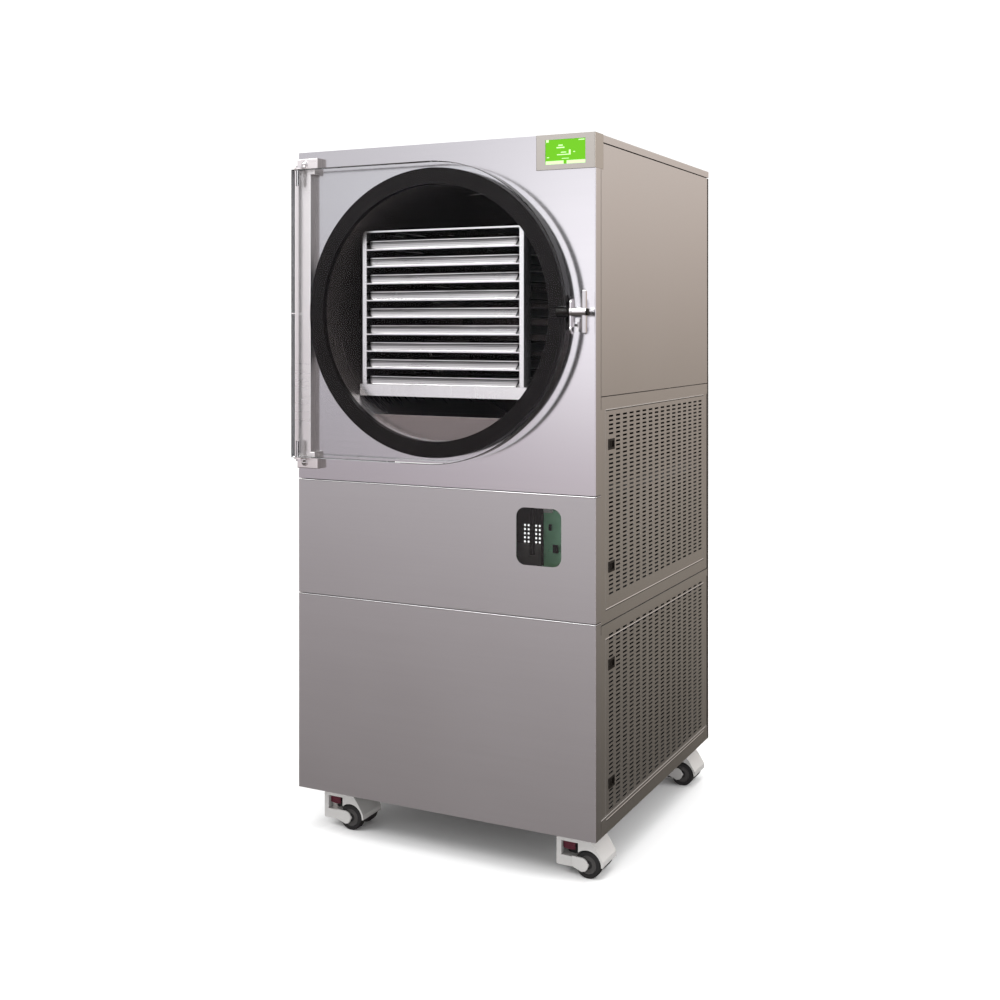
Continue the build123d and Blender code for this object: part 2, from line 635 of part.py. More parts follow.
# ---- back cover: vents, and the cut-outs of the power inlet and the drain ----
INLET_X = 280
INLET_Z = BASE + 170
INLET_WIDTH = 52
INLET_TALL = 92
DRAIN_Z = BASE + VALVE_HEIGHT
DRAIN_NUT = 16
DRAIN_TUBE = 10
HOLE_RADIUS = 3.5
HOLE_PITCH = 12.4
HOLE_COUNT = (5, 5)
HOLE_FIELD = (-144, BASE + 537)
REAR_SLOT = (90, 7)
REAR_SLOT_PITCH = (110, 16)
REAR_SLOT_FIELDS = ((BASE + 330, 9), (BASE + 1400, 5))  # centre height, rows
REAR_SLOT_COLUMNS = 4
CUTOUT_LIP = 3  # sheet hidden behind the power inlet's flange
DRAIN_GAP = 1

with BuildPart() as back_panel:
    block((-HALF, FRAME_REAR, BASE), (HALF, REAR, FRAME_TOP - COVER_GAP))
    fillet(back_panel.edges().filter_by(Axis.Z).group_by(Axis.Y)[-1], COVER_ROUND)
    block(
        (-HALF + SHEET, FRAME_REAR - CUT, BASE + SHEET),
        (HALF - SHEET, REAR - SHEET, FRAME_TOP - COVER_GAP - SHEET),
        Mode.SUBTRACT,
    )
    with BuildSketch(Plane.XZ.offset(-REAR - CUT)):
        with Locations(HOLE_FIELD):
            with GridLocations(HOLE_PITCH, HOLE_PITCH, *HOLE_COUNT):
                Circle(HOLE_RADIUS)
        for z, rows in REAR_SLOT_FIELDS:
            with Locations((0, z)):
                with GridLocations(*REAR_SLOT_PITCH, REAR_SLOT_COLUMNS, rows):
                    SlotOverall(*REAR_SLOT)
        with Locations((INLET_X, INLET_Z)):
            Rectangle(INLET_WIDTH - 2 * CUTOUT_LIP, INLET_TALL - 2 * CUTOUT_LIP)
        with Locations((VALVE_X, DRAIN_Z)):
            Circle(DRAIN_TUBE + DRAIN_GAP)
    extrude(amount=2 * SHEET + CUT, mode=Mode.SUBTRACT)
save(back_panel.part, "back_panel")

# ---- power inlet module: a flanged socket with three blades and a rocker switch above it ----
INLET_DEPTH = 34
INLET_FLANGE = 3
INLET_ROUND = 3
BODY_INSET = CUTOUT_LIP + 0.5
SOCKET = (30, 22, 20)
SOCKET_Z = INLET_Z - 18
BLADE = (2, 18, 6)
BLADE_PLACES = ((-8, 3), (8, 3), (0, -4))
BLADE_SUNK = 5
ROCKER = (16, 10, 22)
ROCKER_Z = INLET_Z + 24
ROCKER_TILT = 8
ROCKER_ROUND = 1.2
ROCKER_PIN = 1.5
ROCKER_POCKET = (17.2, 14, 27)
PIN_SUNK = 4
PIN_BITE = 2.5  # pin in the housing, each end
module_front = REAR + INLET_FLANGE
pin_y = module_front - PIN_SUNK
pin_half = ROCKER[0] / 2 + PIN_BITE


def module_recess(size, z):
    """Cuts a recess of a given width, depth and height into the module's face."""
    half_x, half_z = size[0] / 2, size[2] / 2
    low = (INLET_X - half_x, module_front - size[1], z - half_z)
    block(low, (INLET_X + half_x, module_front + CUT, z + half_z), Mode.SUBTRACT)


with BuildPart() as power_inlet:
    half_x, half_z = INLET_WIDTH / 2, INLET_TALL / 2
    block((INLET_X - half_x, REAR, INLET_Z - half_z), (INLET_X + half_x, module_front, INLET_Z + half_z))
    fillet(power_inlet.edges().filter_by(Axis.Y), INLET_ROUND)
    in_x, in_z = half_x - BODY_INSET, half_z - BODY_INSET
    module_back = module_front - INLET_DEPTH
    block((INLET_X - in_x, module_back, INLET_Z - in_z), (INLET_X + in_x, REAR, INLET_Z + in_z))
    module_recess(SOCKET, SOCKET_Z)
    for dx, dz in BLADE_PLACES:
        tip = module_front - BLADE_SUNK
        x, z = INLET_X + dx - BLADE[0] / 2, SOCKET_Z + dz - BLADE[2] / 2
        block((x, tip - BLADE[1], z), (x + BLADE[0], tip, z + BLADE[2]))
    module_recess(ROCKER_POCKET, ROCKER_Z)
    bore_half = pin_half + ROCKER_PIN / 3
    rod((INLET_X - bore_half, pin_y, ROCKER_Z), (1, 0, 0), ROCKER_PIN + RUNNING, 2 * bore_half, Mode.SUBTRACT)
save(power_inlet.part, "power_inlet")

with BuildPart() as power_switch:
    with Locations(Location((INLET_X, pin_y, ROCKER_Z), (ROCKER_TILT, 0, 0))):
        Box(*ROCKER)
    fillet(power_switch.edges().filter_by(Axis.X), ROCKER_ROUND)
    rod((INLET_X - pin_half, pin_y, ROCKER_Z), (1, 0, 0), ROCKER_PIN, 2 * pin_half)
save(power_switch.part, "power_switch")

# ---- drain: a ball valve through the back cover, with a quarter-turn lever ----
DRAIN_BORE = 6
DRAIN_INSIDE = 30  # tube inside the back cover
DRAIN_NUT_TALL = 4
BALL_RADIUS = 15
BALL_SETBACK = 17  # the ball's centre behind the back cover
NECK_WALL = 3
NECK_RISE = 3  # the valve's neck above its ball
STEM_START = 8  # the lever's stem starts this far above the ball's centre
LEVER_STEM = 4
LEVER_LENGTH = 62
LEVER_WIDTH = 14
LEVER_THICKNESS = 3
LEVER_TAIL = 8  # lever behind its stem
LEVER_ROUND = 0.8
ball = (VALVE_X, REAR + BALL_SETBACK, DRAIN_Z)
stem_low = (VALVE_X, REAR + BALL_SETBACK, DRAIN_Z + STEM_START)
neck_top = DRAIN_Z + BALL_RADIUS + NECK_RISE
with BuildPart() as drain_valve:
    rod((VALVE_X, REAR - DRAIN_INSIDE, DRAIN_Z), (0, 1, 0), DRAIN_TUBE, VALVE_REACH + DRAIN_INSIDE)
    rod((VALVE_X, REAR, DRAIN_Z), (0, 1, 0), DRAIN_NUT, DRAIN_NUT_TALL)
    with Locations(ball):
        Sphere(BALL_RADIUS)
    rod(ball, (0, 0, 1), LEVER_STEM + NECK_WALL, neck_top - DRAIN_Z)
    block(
        (VALVE_X - DRAIN_NUT, REAR - DRAIN_NUT, DRAIN_Z - DRAIN_NUT),
        (VALVE_X + DRAIN_NUT, REAR, DRAIN_Z - DRAIN_TUBE + FIT_GAP),
        Mode.SUBTRACT,
    )
    bore_start = (VALVE_X, REAR - DRAIN_INSIDE - CUT, DRAIN_Z)
    rod(bore_start, (0, 1, 0), DRAIN_BORE, DRAIN_INSIDE + VALVE_REACH + 2 * CUT, Mode.SUBTRACT)
    rod(stem_low, (0, 0, 1), LEVER_STEM + RUNNING, BALL_RADIUS, Mode.SUBTRACT)
save(drain_valve.part, "drain_valve")

with BuildPart() as valve_lever:
    lever_z = neck_top + FIT_GAP
    stem_start = (stem_low[0], stem_low[1], stem_low[2] + FIT_GAP)
    rod(stem_start, (0, 0, 1), LEVER_STEM, lever_z - stem_start[2] + LEVER_THICKNESS / 2)
    with BuildSketch(Plane.XY.offset(lever_z)):
        with Locations((VALVE_X + LEVER_LENGTH / 2 - LEVER_TAIL, ball[1])):
            SlotOverall(LEVER_LENGTH, LEVER_WIDTH)
    extrude(amount=LEVER_THICKNESS)
    fillet(valve_lever.faces().sort_by(Axis.Z)[-1].edges(), LEVER_ROUND)
save(valve_lever.part, "valve_lever")

# ---- chamber: a stainless drum, flanged in front of the fascia, with a low dam and a port ----
PORT_RADIUS = 20
PORT_WALL = 2
PORT_LIFT = 120  # the port above the drum's axis
PORT_REACH = 39  # the port behind the drum's end
DAM_SETBACK = 5
FLANGE_BACK = FRONT - FIT_GAP
FLANGE_FRONT = FLANGE_BACK - FLANGE_THICKNESS
chamber_end = FRONT + CHAMBER_LENGTH
chamber_axis = Axis((0, 0, AXIS_Z), (0, 1, 0))
port_z = AXIS_Z + PORT_LIFT

with BuildPart() as chamber:
    rod((0, FRONT + DAM_SETBACK, AXIS_Z), (0, 1, 0), CHAMBER_RADIUS + CHAMBER_WALL / 2, DAM)
    block(
        (-DRUM_OUTER, FRONT, AXIS_Z - CHAMBER_RADIUS + DAM_HEIGHT),
        (DRUM_OUTER, FRONT + DAM_SETBACK + DAM + CUT, AXIS_Z + DRUM_OUTER),
        Mode.SUBTRACT,
    )
    with BuildSketch(Plane.YZ):
        with BuildLine():
            Polyline(
                (FLANGE_FRONT, AXIS_Z + CHAMBER_RADIUS),
                (FLANGE_FRONT, AXIS_Z + FLANGE_RADIUS),
                (FLANGE_BACK, AXIS_Z + FLANGE_RADIUS),
                (FLANGE_BACK, AXIS_Z + DRUM_OUTER),
                (chamber_end, AXIS_Z + DRUM_OUTER),
                (chamber_end, AXIS_Z),
                (chamber_end - CHAMBER_BACK, AXIS_Z),
                (chamber_end - CHAMBER_BACK, AXIS_Z + CHAMBER_RADIUS),
                close=True,
            )
        make_face()
    revolve(axis=chamber_axis)
    rod((0, chamber_end - CUT, port_z), (0, 1, 0), PORT_RADIUS, PORT_REACH + CUT)
    port_start = (0, chamber_end - CHAMBER_BACK - CUT, port_z)
    port_length = PORT_REACH + CHAMBER_BACK + 2 * CUT
    rod(port_start, (0, 1, 0), PORT_RADIUS - PORT_WALL, port_length, Mode.SUBTRACT)
save(chamber.part, "chamber")

# ---- gasket: a black rubber ring that hooks over the chamber's flange ----
GASKET_SKIRT = 3  # the skirt stops this far in front of the flange's back
gasket_face = FRONT - GASKET_FRONT
with BuildPart() as door_gasket:
    with BuildSketch(Plane.YZ):
        with BuildLine():
            Polyline(
                (gasket_face, AXIS_Z + CHAMBER_RADIUS),
                (gasket_face, AXIS_Z + GASKET_RADIUS),
                (FLANGE_BACK - GASKET_SKIRT, AXIS_Z + GASKET_RADIUS),
                (FLANGE_BACK - GASKET_SKIRT, AXIS_Z + FLANGE_RADIUS + FIT_GAP),
                (FLANGE_FRONT - FIT_GAP, AXIS_Z + FLANGE_RADIUS + FIT_GAP),
                (FLANGE_FRONT - FIT_GAP, AXIS_Z + CHAMBER_RADIUS),
                close=True,
            )
        make_face()
    revolve(axis=chamber_axis)
save(door_gasket.part, "door_gasket")

# ---- tray rack: a folded base channel, shelves between posts, and a top plate, in the drum ----
RACK_WALL = 2
POST_BEVEL = (5, 12)  # the posts' outer top corners
rack_front = FRONT + RACK_SETBACK
rack_back = rack_front + RACK_DEPTH
rack_low = AXIS_Z - RACK_HEIGHT / 2
rack_high = AXIS_Z + RACK_HEIGHT / 2
first_shelf = rack_low + RACK_FOOT
foot_half = sqrt((CHAMBER_RADIUS - FIT_GAP) ** 2 - (RACK_HEIGHT / 2) ** 2)
shelf_half = POST_INNER - FIT_GAP
SHELF_TOPS = [first_shelf + k * TRAY_PITCH for k in range(TRAY_COUNT)]

with BuildPart() as tray_rack:
    block((-foot_half, rack_front, rack_low), (foot_half, rack_back, first_shelf))
    block(
        (-foot_half + RACK_WALL, rack_front + RACK_WALL, rack_low - CUT),
        (foot_half - RACK_WALL, rack_back - RACK_WALL, first_shelf - SHELF),
        Mode.SUBTRACT,
    )
    shelves = [(z - SHELF, z) for z in SHELF_TOPS[1:]] + [(rack_high - RACK_TOP, rack_high)]
    for low, high in shelves:
        block((-shelf_half, rack_front, low), (shelf_half, rack_back, high))
    middle = (rack_front + rack_back - POST_DEPTH) / 2
    for side in (-1, 1):
        for y in (rack_front, middle, rack_back - POST_DEPTH):
            with BuildSketch(Plane.XZ.offset(-y)):
                Polygon(
                    (side * POST_INNER, first_shelf + FIT_GAP),
                    (side * POST_OUTER, first_shelf + FIT_GAP),
                    (side * POST_OUTER, rack_high - POST_BEVEL[1]),
                    (side * (POST_OUTER - POST_BEVEL[0]), rack_high),
                    (side * POST_INNER, rack_high),
                    align=None,
                )
            extrude(amount=-POST_DEPTH)
save(tray_rack.part, "tray_rack")

# ---- trays: drawn stainless pans with rounded corners, each loose on its shelf ----
TRAY_FOOT_ROUND = 3
tray_front = rack_front + TRAY_SETBACK


def tray(shelf_top):
    """An open pan that stands on the shelf at the given height."""
    half = TRAY_WIDTH / 2
    with BuildPart() as pan:
        block((-half, tray_front, shelf_top), (half, tray_front + TRAY_DEPTH, shelf_top + TRAY_HEIGHT))
        fillet(pan.edges().filter_by(Axis.Z), TRAY_ROUND)
        fillet(pan.faces().sort_by(Axis.Z)[0].edges(), TRAY_FOOT_ROUND)
        offset(amount=-TRAY_WALL, openings=pan.faces().sort_by(Axis.Z)[-1])
    return pan.part


for i, z in enumerate(SHELF_TOPS, 1):
    save(tray(z), f"tray_{i}")

# ---- door: a thick clear slab, square on its hinge side and round on the other ----
DOOR_EDGE = 1.5
INSERT_LENGTH = 26
INSERT_RADIUS = 12
BOLT_RADIUS = 5
PIN_DEPTH = 40
PIN_SPARE = 1
door_mid = FRONT - DOOR_BACK - DOOR_THICKNESS / 2
pin_x = -DOOR_LEFT + PIN_INSET

with BuildPart() as door_slab:
    with BuildSketch(Plane.XZ.offset(-(FRONT - DOOR_BACK))):
        with BuildLine():
            Polyline(
                (0, AXIS_Z + DOOR_RADIUS),
                (-DOOR_LEFT, AXIS_Z + DOOR_RADIUS),
                (-DOOR_LEFT, AXIS_Z - DOOR_RADIUS),
                (0, AXIS_Z - DOOR_RADIUS),
            )
            ThreePointArc((0, AXIS_Z - DOOR_RADIUS), (DOOR_RADIUS, AXIS_Z), (0, AXIS_Z + DOOR_RADIUS))
        make_face()
    extrude(amount=DOOR_THICKNESS)
    door_faces = door_slab.faces().sort_by(Axis.Y)
    chamfer(door_faces[0].edges() + door_faces[-1].edges(), DOOR_EDGE)
    for side in (-1, 1):
        start = (pin_x, door_mid, AXIS_Z + side * (DOOR_RADIUS + CUT))
        rod(start, (0, 0, -side), PIN_RADIUS + RUNNING, CUT + PIN_DEPTH + PIN_SPARE, Mode.SUBTRACT)
    insert_start = (DOOR_RADIUS - INSERT_LENGTH, door_mid, AXIS_Z)
    rod(insert_start, (1, 0, 0), INSERT_RADIUS + RUNNING, INSERT_LENGTH + CUT, Mode.SUBTRACT)
save(door_slab.part, "door_slab")

# ---- hinge: a machined bar scooped clear of the gasket, with an ear over each end of the door ----
EAR_GAP = 0.6
EAR_HALF = 12
BAR_ROUND = 2
PIN_HEAD = 8
PIN_HEAD_TALL = 5
bar_front = FRONT - HINGE_BAR_PROUD
bar_half = DOOR_RADIUS + HINGE_BAR_OVERHANG

with BuildPart() as hinge_bar:
    bar_right = -HINGE_BAR_LEFT + HINGE_BAR_WIDTH
    end_right = -HINGE_BAR_LEFT + HINGE_END_WIDTH
    block((-HINGE_BAR_LEFT, bar_front, AXIS_Z - bar_half), (bar_right, FRONT, AXIS_Z + bar_half))
    for low in (AXIS_Z - bar_half, AXIS_Z + bar_half - HINGE_END_TALL):
        block((-HINGE_BAR_LEFT, bar_front, low), (end_right, FRONT, low + HINGE_END_TALL))
    fillet(hinge_bar.faces().sort_by(Axis.Y)[0].edges(), BAR_ROUND)
    scoop = GASKET_RADIUS + SCOOP_GAP
    rod((0, bar_front - CUT, AXIS_Z), (0, 1, 0), scoop, HINGE_BAR_PROUD + 2 * CUT, Mode.SUBTRACT)
    for low in (AXIS_Z + DOOR_RADIUS + EAR_GAP, AXIS_Z - DOOR_RADIUS - EAR_GAP - EAR):
        block((pin_x - EAR_HALF, door_mid, low), (pin_x + EAR_HALF, bar_front + CUT, low + EAR))
        rod((pin_x, door_mid, low), (0, 0, 1), EAR_HALF, EAR)
        rod((pin_x, door_mid, low - CUT), (0, 0, 1), PIN_RADIUS + RUNNING, EAR + 2 * CUT, Mode.SUBTRACT)
save(hinge_bar.part, "hinge_bar")

with BuildPart() as hinge_pins:
    ear_outer = DOOR_RADIUS + EAR_GAP + EAR
    for side in (-1, 1):
        head = (pin_x, door_mid, AXIS_Z + side * ear_outer)
        rod(head, (0, 0, -side), PIN_RADIUS, ear_outer - DOOR_RADIUS + PIN_DEPTH)
        rod(head, (0, 0, side), PIN_HEAD, PIN_HEAD_TALL)
save(hinge_pins.part, "hinge_pins")

# ---- latch: a bolt in the door's rim carries a hook plate and a T handle that turn together ----
COLLAR = 6
COLLAR_RADIUS = 9
HUB_RADIUS = 9.5
HUB_END = 6.5
BOLT_HEAD_RADIUS = 8
BOLT_HEAD = 4
BOLT_BEVEL = 1
HOOK_WIDTH = 20
HOOK_EYE = 13
HOOK_TIP = 11
HOOK_HEEL = 10
HOOK_MOUTH = 5
HANDLE_ROUND = 2.5
LATCH_ANGLE = 40
hook_x = DOOR_RADIUS + COLLAR + FIT_GAP
hub_start = hook_x + HOOK_THICKNESS + FIT_GAP
bar_x = DOOR_RADIUS + HANDLE_REACH
hub_finish = bar_x + HUB_END

with BuildPart() as latch_bolt:
    rod(insert_start, (1, 0, 0), INSERT_RADIUS, INSERT_LENGTH)
    rod((DOOR_RADIUS, door_mid, AXIS_Z), (1, 0, 0), COLLAR_RADIUS, COLLAR)
    rod((DOOR_RADIUS, door_mid, AXIS_Z), (1, 0, 0), BOLT_RADIUS, hub_finish + FIT_GAP - DOOR_RADIUS)
    head_start = (hub_finish + FIT_GAP, door_mid, AXIS_Z)
    rod(head_start, (1, 0, 0), BOLT_HEAD_RADIUS, BOLT_HEAD)
    chamfer(latch_bolt.faces().sort_by(Axis.X)[-1].edges(), BOLT_BEVEL)
save(latch_bolt.part, "latch_bolt")

with BuildPart() as latch_hook:
    with BuildSketch(Plane.YZ.offset(hook_x)):
        with Locations((door_mid, AXIS_Z - HOOK_REACH / 4)):
            Rectangle(HOOK_WIDTH, 3 * HOOK_REACH / 2)
        for z, radius in ((0, HOOK_EYE), (-HOOK_REACH, HOOK_TIP), (HOOK_REACH / 2, HOOK_HEEL)):
            with Locations((door_mid, AXIS_Z + z)):
                Circle(radius)
        with Locations((door_mid, AXIS_Z)):
            Circle(BOLT_RADIUS + RUNNING, mode=Mode.SUBTRACT)
        with Locations((door_mid, AXIS_Z - HOOK_REACH)):
            Circle(HOOK_MOUTH, mode=Mode.SUBTRACT)
        with Locations((door_mid + HOOK_TIP, AXIS_Z - HOOK_REACH)):
            Rectangle(2 * HOOK_TIP, 2 * HOOK_MOUTH, mode=Mode.SUBTRACT)
    extrude(amount=HOOK_THICKNESS)
save(latch_hook.part, "latch_hook")

with BuildPart() as latch_handle:
    rod((hub_start, door_mid, AXIS_Z), (1, 0, 0), HUB_RADIUS, hub_finish - hub_start)
    rod((bar_x, door_mid, AXIS_Z - HANDLE_LENGTH / 2), (0, 0, 1), HANDLE_RADIUS, HANDLE_LENGTH)
    handle_ends = latch_handle.faces().filter_by(Axis.Z)
    fillet(handle_ends.edges(), HANDLE_ROUND)
    hub_length = hub_finish - hub_start + 2 * CUT
    rod((hub_start - CUT, door_mid, AXIS_Z), (1, 0, 0), BOLT_RADIUS + RUNNING, hub_length, Mode.SUBTRACT)
save(latch_handle.part, "latch_handle")

# ---- keeper: a small bracket on the fascia whose pin the hook swings over ----
KEEPER_PIN = 3
KEEPER_PLATE = 3
KEEPER_TALL = 30
KEEPER_LIP = 6  # plate beyond the hook, towards the door
KEEPER_EAR = 4
KEEPER_EAR_TALL = 14
KEEPER_GAP = 3  # between the hook and the ear
PIN_STICKS_OUT = 2
ear_front = 2 * KEEPER_PIN  # ear in front of the pin's axis
keeper_y = door_mid + HOOK_REACH * sin(radians(LATCH_ANGLE))
keeper_z = AXIS_Z - HOOK_REACH * cos(radians(LATCH_ANGLE))
ear_x = hook_x + HOOK_THICKNESS + KEEPER_GAP
with BuildPart() as keeper:
    plate_half, ear_half = KEEPER_TALL / 2, KEEPER_EAR_TALL / 2
    block(
        (hook_x - KEEPER_LIP, FRONT - KEEPER_PLATE, keeper_z - plate_half),
        (ear_x + KEEPER_EAR, FRONT, keeper_z + plate_half),
    )
    block(
        (ear_x, keeper_y - ear_front, keeper_z - ear_half),
        (ear_x + KEEPER_EAR, FRONT - KEEPER_PLATE / 2, keeper_z + ear_half),
    )
    pin_start = (hook_x - PIN_STICKS_OUT, keeper_y, keeper_z)
    rod(pin_start, (1, 0, 0), KEEPER_PIN, ear_x - pin_start[0] + KEEPER_EAR / 2)
save(keeper.part, "keeper")

# ---- compressor: a domed can on four feet on the floor pan ----
CAN_RADIUS = 95
CAN_HEIGHT = 235
CAN_X = -150
CAN_SETBACK = 270
CAN_LIFT = 18
CAN_DOME = 45
CAN_ROUND = 20
CAN_PLATE = 4
CAN_FOOT_RADIUS = 12
CAN_FOOT_INSET = 14
FLOOR_TOP = BASE + DECK
can_y = FRONT + CAN_SETBACK
can_base = FLOOR_TOP + CAN_LIFT
with BuildPart() as compressor:
    rod((CAN_X, can_y, can_base), (0, 0, 1), CAN_RADIUS, CAN_HEIGHT - CAN_LIFT)
    fillet(compressor.edges().filter_by(GeomType.CIRCLE).group_by(Axis.Z)[-1], CAN_DOME)
    fillet(compressor.edges().filter_by(GeomType.CIRCLE).group_by(Axis.Z)[0], CAN_ROUND)
    block(
        (CAN_X - CAN_RADIUS, can_y - CAN_RADIUS, can_base),
        (CAN_X + CAN_RADIUS, can_y + CAN_RADIUS, can_base + CAN_PLATE),
    )
    foot_place = CAN_RADIUS - CAN_FOOT_INSET
    for dx in (-foot_place, foot_place):
        for dy in (-foot_place, foot_place):
            rod((CAN_X + dx, can_y + dy, FLOOR_TOP), (0, 0, 1), CAN_FOOT_RADIUS, CAN_LIFT + CAN_PLATE)
save(compressor.part, "compressor")

# ---- vacuum pump: a motor and an oil box on one base, on the deck ----
PUMP_X = -130
PUMP_SETBACK = 230
PUMP_LENGTH = 330
PUMP_BASE = (150, 20)  # width and height
OIL_BOX = (130, 145, 155)
OIL_BOX_SETBACK = 5
OIL_BOX_ROUND = 15
MOTOR_RADIUS = 60
MOTOR_LIFT = 85
MOTOR_SPARE = 15  # base beyond the motor's end
MOTOR_BITE = 10
MOTOR_FOOT = (60, 45)
with BuildPart() as vacuum_pump:
    pump_y = FRONT + PUMP_SETBACK
    base_half, base_top = PUMP_BASE[0] / 2, DECK_TOP + PUMP_BASE[1]
    block((PUMP_X - base_half, pump_y, DECK_TOP), (PUMP_X + base_half, pump_y + PUMP_LENGTH, base_top))
    box_y, box_half = pump_y + OIL_BOX_SETBACK, OIL_BOX[0] / 2
    box_end = box_y + OIL_BOX[1]
    block((PUMP_X - box_half, box_y, base_top), (PUMP_X + box_half, box_end, base_top + OIL_BOX[2]))
    fillet(vacuum_pump.edges().filter_by(Axis.Y).group_by(Axis.Z)[-1], OIL_BOX_ROUND)
    motor_start = (PUMP_X, box_end - MOTOR_BITE, DECK_TOP + MOTOR_LIFT)
    motor_end = pump_y + PUMP_LENGTH - MOTOR_SPARE
    rod(motor_start, (0, 1, 0), MOTOR_RADIUS, motor_end - motor_start[1])
    half = MOTOR_FOOT[0] / 2
    foot_front = box_end + MOTOR_BITE
    block(
        (PUMP_X - half, foot_front, base_top - CUT),
        (PUMP_X + half, motor_end - MOTOR_BITE, base_top - CUT + MOTOR_FOOT[1]),
    )
save(vacuum_pump.part, "vacuum_pump")

# ---- condenser: a finned block by the lower grille, with its fan motor on a bracket ----
COIL_INSET = 43  # the block's face inside the frame's
COIL_DEPTH = 50
COIL_LENGTH = 340
COIL_SETBACK = 250
COIL_HEIGHT = 330
COIL_PLATE = 2
FIN = 1
FIN_COUNT = 14
FIN_INSET = (4, 12)  # fins inside the block's faces and its ends
TUBE_ROWS = 6
TUBE_RADIUS = 6
MOTOR_BRACKET = 30
MOTOR_BRACKET_BITE = 10
MOTOR_PLATE = 3
FAN_MOTOR_RADIUS = 36
FAN_MOTOR_LENGTH = 60
FAN_MOTOR_GAP = 10
FAN_RADIUS = 125
FAN_HUB = 30
FAN_WIDTH = 30
FAN_SHAFT = 5
FAN_GAP = 12
BLADE_COUNT = 5
BLADE_CHORD = 34
BLADE_THICK = 2.5
BLADE_TWIST = (35, 55)
BLADE_ROOT = 4
coil_right = FRAME_X - COIL_INSET
coil_left = coil_right - COIL_DEPTH
coil_front = FRONT + COIL_SETBACK
coil_back = coil_front + COIL_LENGTH
coil_top = FLOOR_TOP + COIL_HEIGHT
fan_y = (coil_front + coil_back) / 2
fan_z = (FLOOR_TOP + coil_top) / 2
fan_x = coil_left - FAN_GAP
motor_x = fan_x - FAN_WIDTH - FAN_MOTOR_GAP - FAN_MOTOR_LENGTH
end_plates = (coil_front, coil_back - COIL_PLATE)
bracket_low, bracket_high = fan_z - MOTOR_BRACKET / 2, fan_z + MOTOR_BRACKET / 2
with BuildPart() as condenser_coil:
    for y in end_plates:
        block((coil_left, y, FLOOR_TOP), (coil_right, y + COIL_PLATE, coil_top))
        bracket_end = coil_left + MOTOR_BRACKET_BITE
        block((motor_x, y, bracket_low), (bracket_end, y + COIL_PLATE, bracket_high))
    for i in range(FIN_COUNT):
        y = coil_front + COIL_LENGTH * (i + 1) / (FIN_COUNT + 1) - FIN / 2
        block(
            (coil_left + FIN_INSET[0], y, FLOOR_TOP + FIN_INSET[1]),
            (coil_right - FIN_INSET[0], y + FIN, coil_top - FIN_INSET[1]),
        )
    tube_start = coil_front + COIL_PLATE / 2
    for i in range(TUBE_ROWS):
        z = FLOOR_TOP + COIL_HEIGHT * (i + 0.5) / TUBE_ROWS
        tube = ((coil_left + coil_right) / 2, tube_start, z)
        rod(tube, (0, 1, 0), TUBE_RADIUS, COIL_LENGTH - COIL_PLATE)
    block((motor_x, coil_front, bracket_low), (motor_x + MOTOR_PLATE, coil_back, bracket_high))
    rod((motor_x, fan_y, fan_z), (1, 0, 0), FAN_MOTOR_RADIUS, FAN_MOTOR_LENGTH)
    rod((motor_x, fan_y, fan_z), (1, 0, 0), FAN_SHAFT, fan_x - motor_x)
save(condenser_coil.part, "condenser_coil")

with BuildPart() as fan_rotor:
    rod((fan_x - FAN_WIDTH, fan_y, fan_z), (1, 0, 0), FAN_HUB, FAN_WIDTH - 2 * CUT)
    with BuildPart(mode=Mode.PRIVATE) as blade:
        for height, twist in zip((FAN_HUB - BLADE_ROOT, FAN_RADIUS), BLADE_TWIST):
            with BuildSketch(Plane.XY.offset(height)):
                with Locations(Location((0, 0, 0), (0, 0, twist))):
                    Rectangle(BLADE_THICK, BLADE_CHORD)
        loft()
    for i in range(BLADE_COUNT):
        turned = blade.part.rotate(Axis.X, i * 360 / BLADE_COUNT)
        add(turned.moved(Location((fan_x - CUT - FAN_WIDTH / 2, fan_y, fan_z))))
    bore_start = (fan_x - FAN_WIDTH - CUT, fan_y, fan_z)
    rod(bore_start, (1, 0, 0), FAN_SHAFT + RUNNING, FAN_WIDTH + CUT, Mode.SUBTRACT)
save(fan_rotor.part, "fan_rotor")

# ---- control board: a green board on a bent bracket, behind the window ----
BOARD_WIDTH = 104
BOARD_ASIDE = 59  # board's left edge from the window's centre
BOARD_SETBACK = 150
BOARD_LIFT = 12
BOARD = 2
BRACKET_GAP = 8  # between the board and its bracket
BRACKET_FOOT = 35
SPACER_RADIUS = 3
SPACER_INSET = 8
RELAY = (15, 14, 26)
RELAY_COUNT = 4
RELAY_PITCH = 20
RELAY_PLACE = (14, 20)  # the first relay from the board's corner
CHIP = (50, 8, 30)
CHIP_PLACE = (16, 70)
board_x = WINDOW_X - BOARD_ASIDE
board_y = FRONT + BOARD_SETBACK
board_z = DECK_TOP + BOARD_LIFT
board_top = UPPER_SEAM - POST
bracket_y = board_y + BOARD + BRACKET_GAP


def component(place, size):
    """A block on the board's face, placed from the board's lower left corner."""
    x, z = board_x + place[0], board_z + place[1]
    block((x, board_y - size[1], z), (x + size[0], board_y + BOARD / 2, z + size[2]))


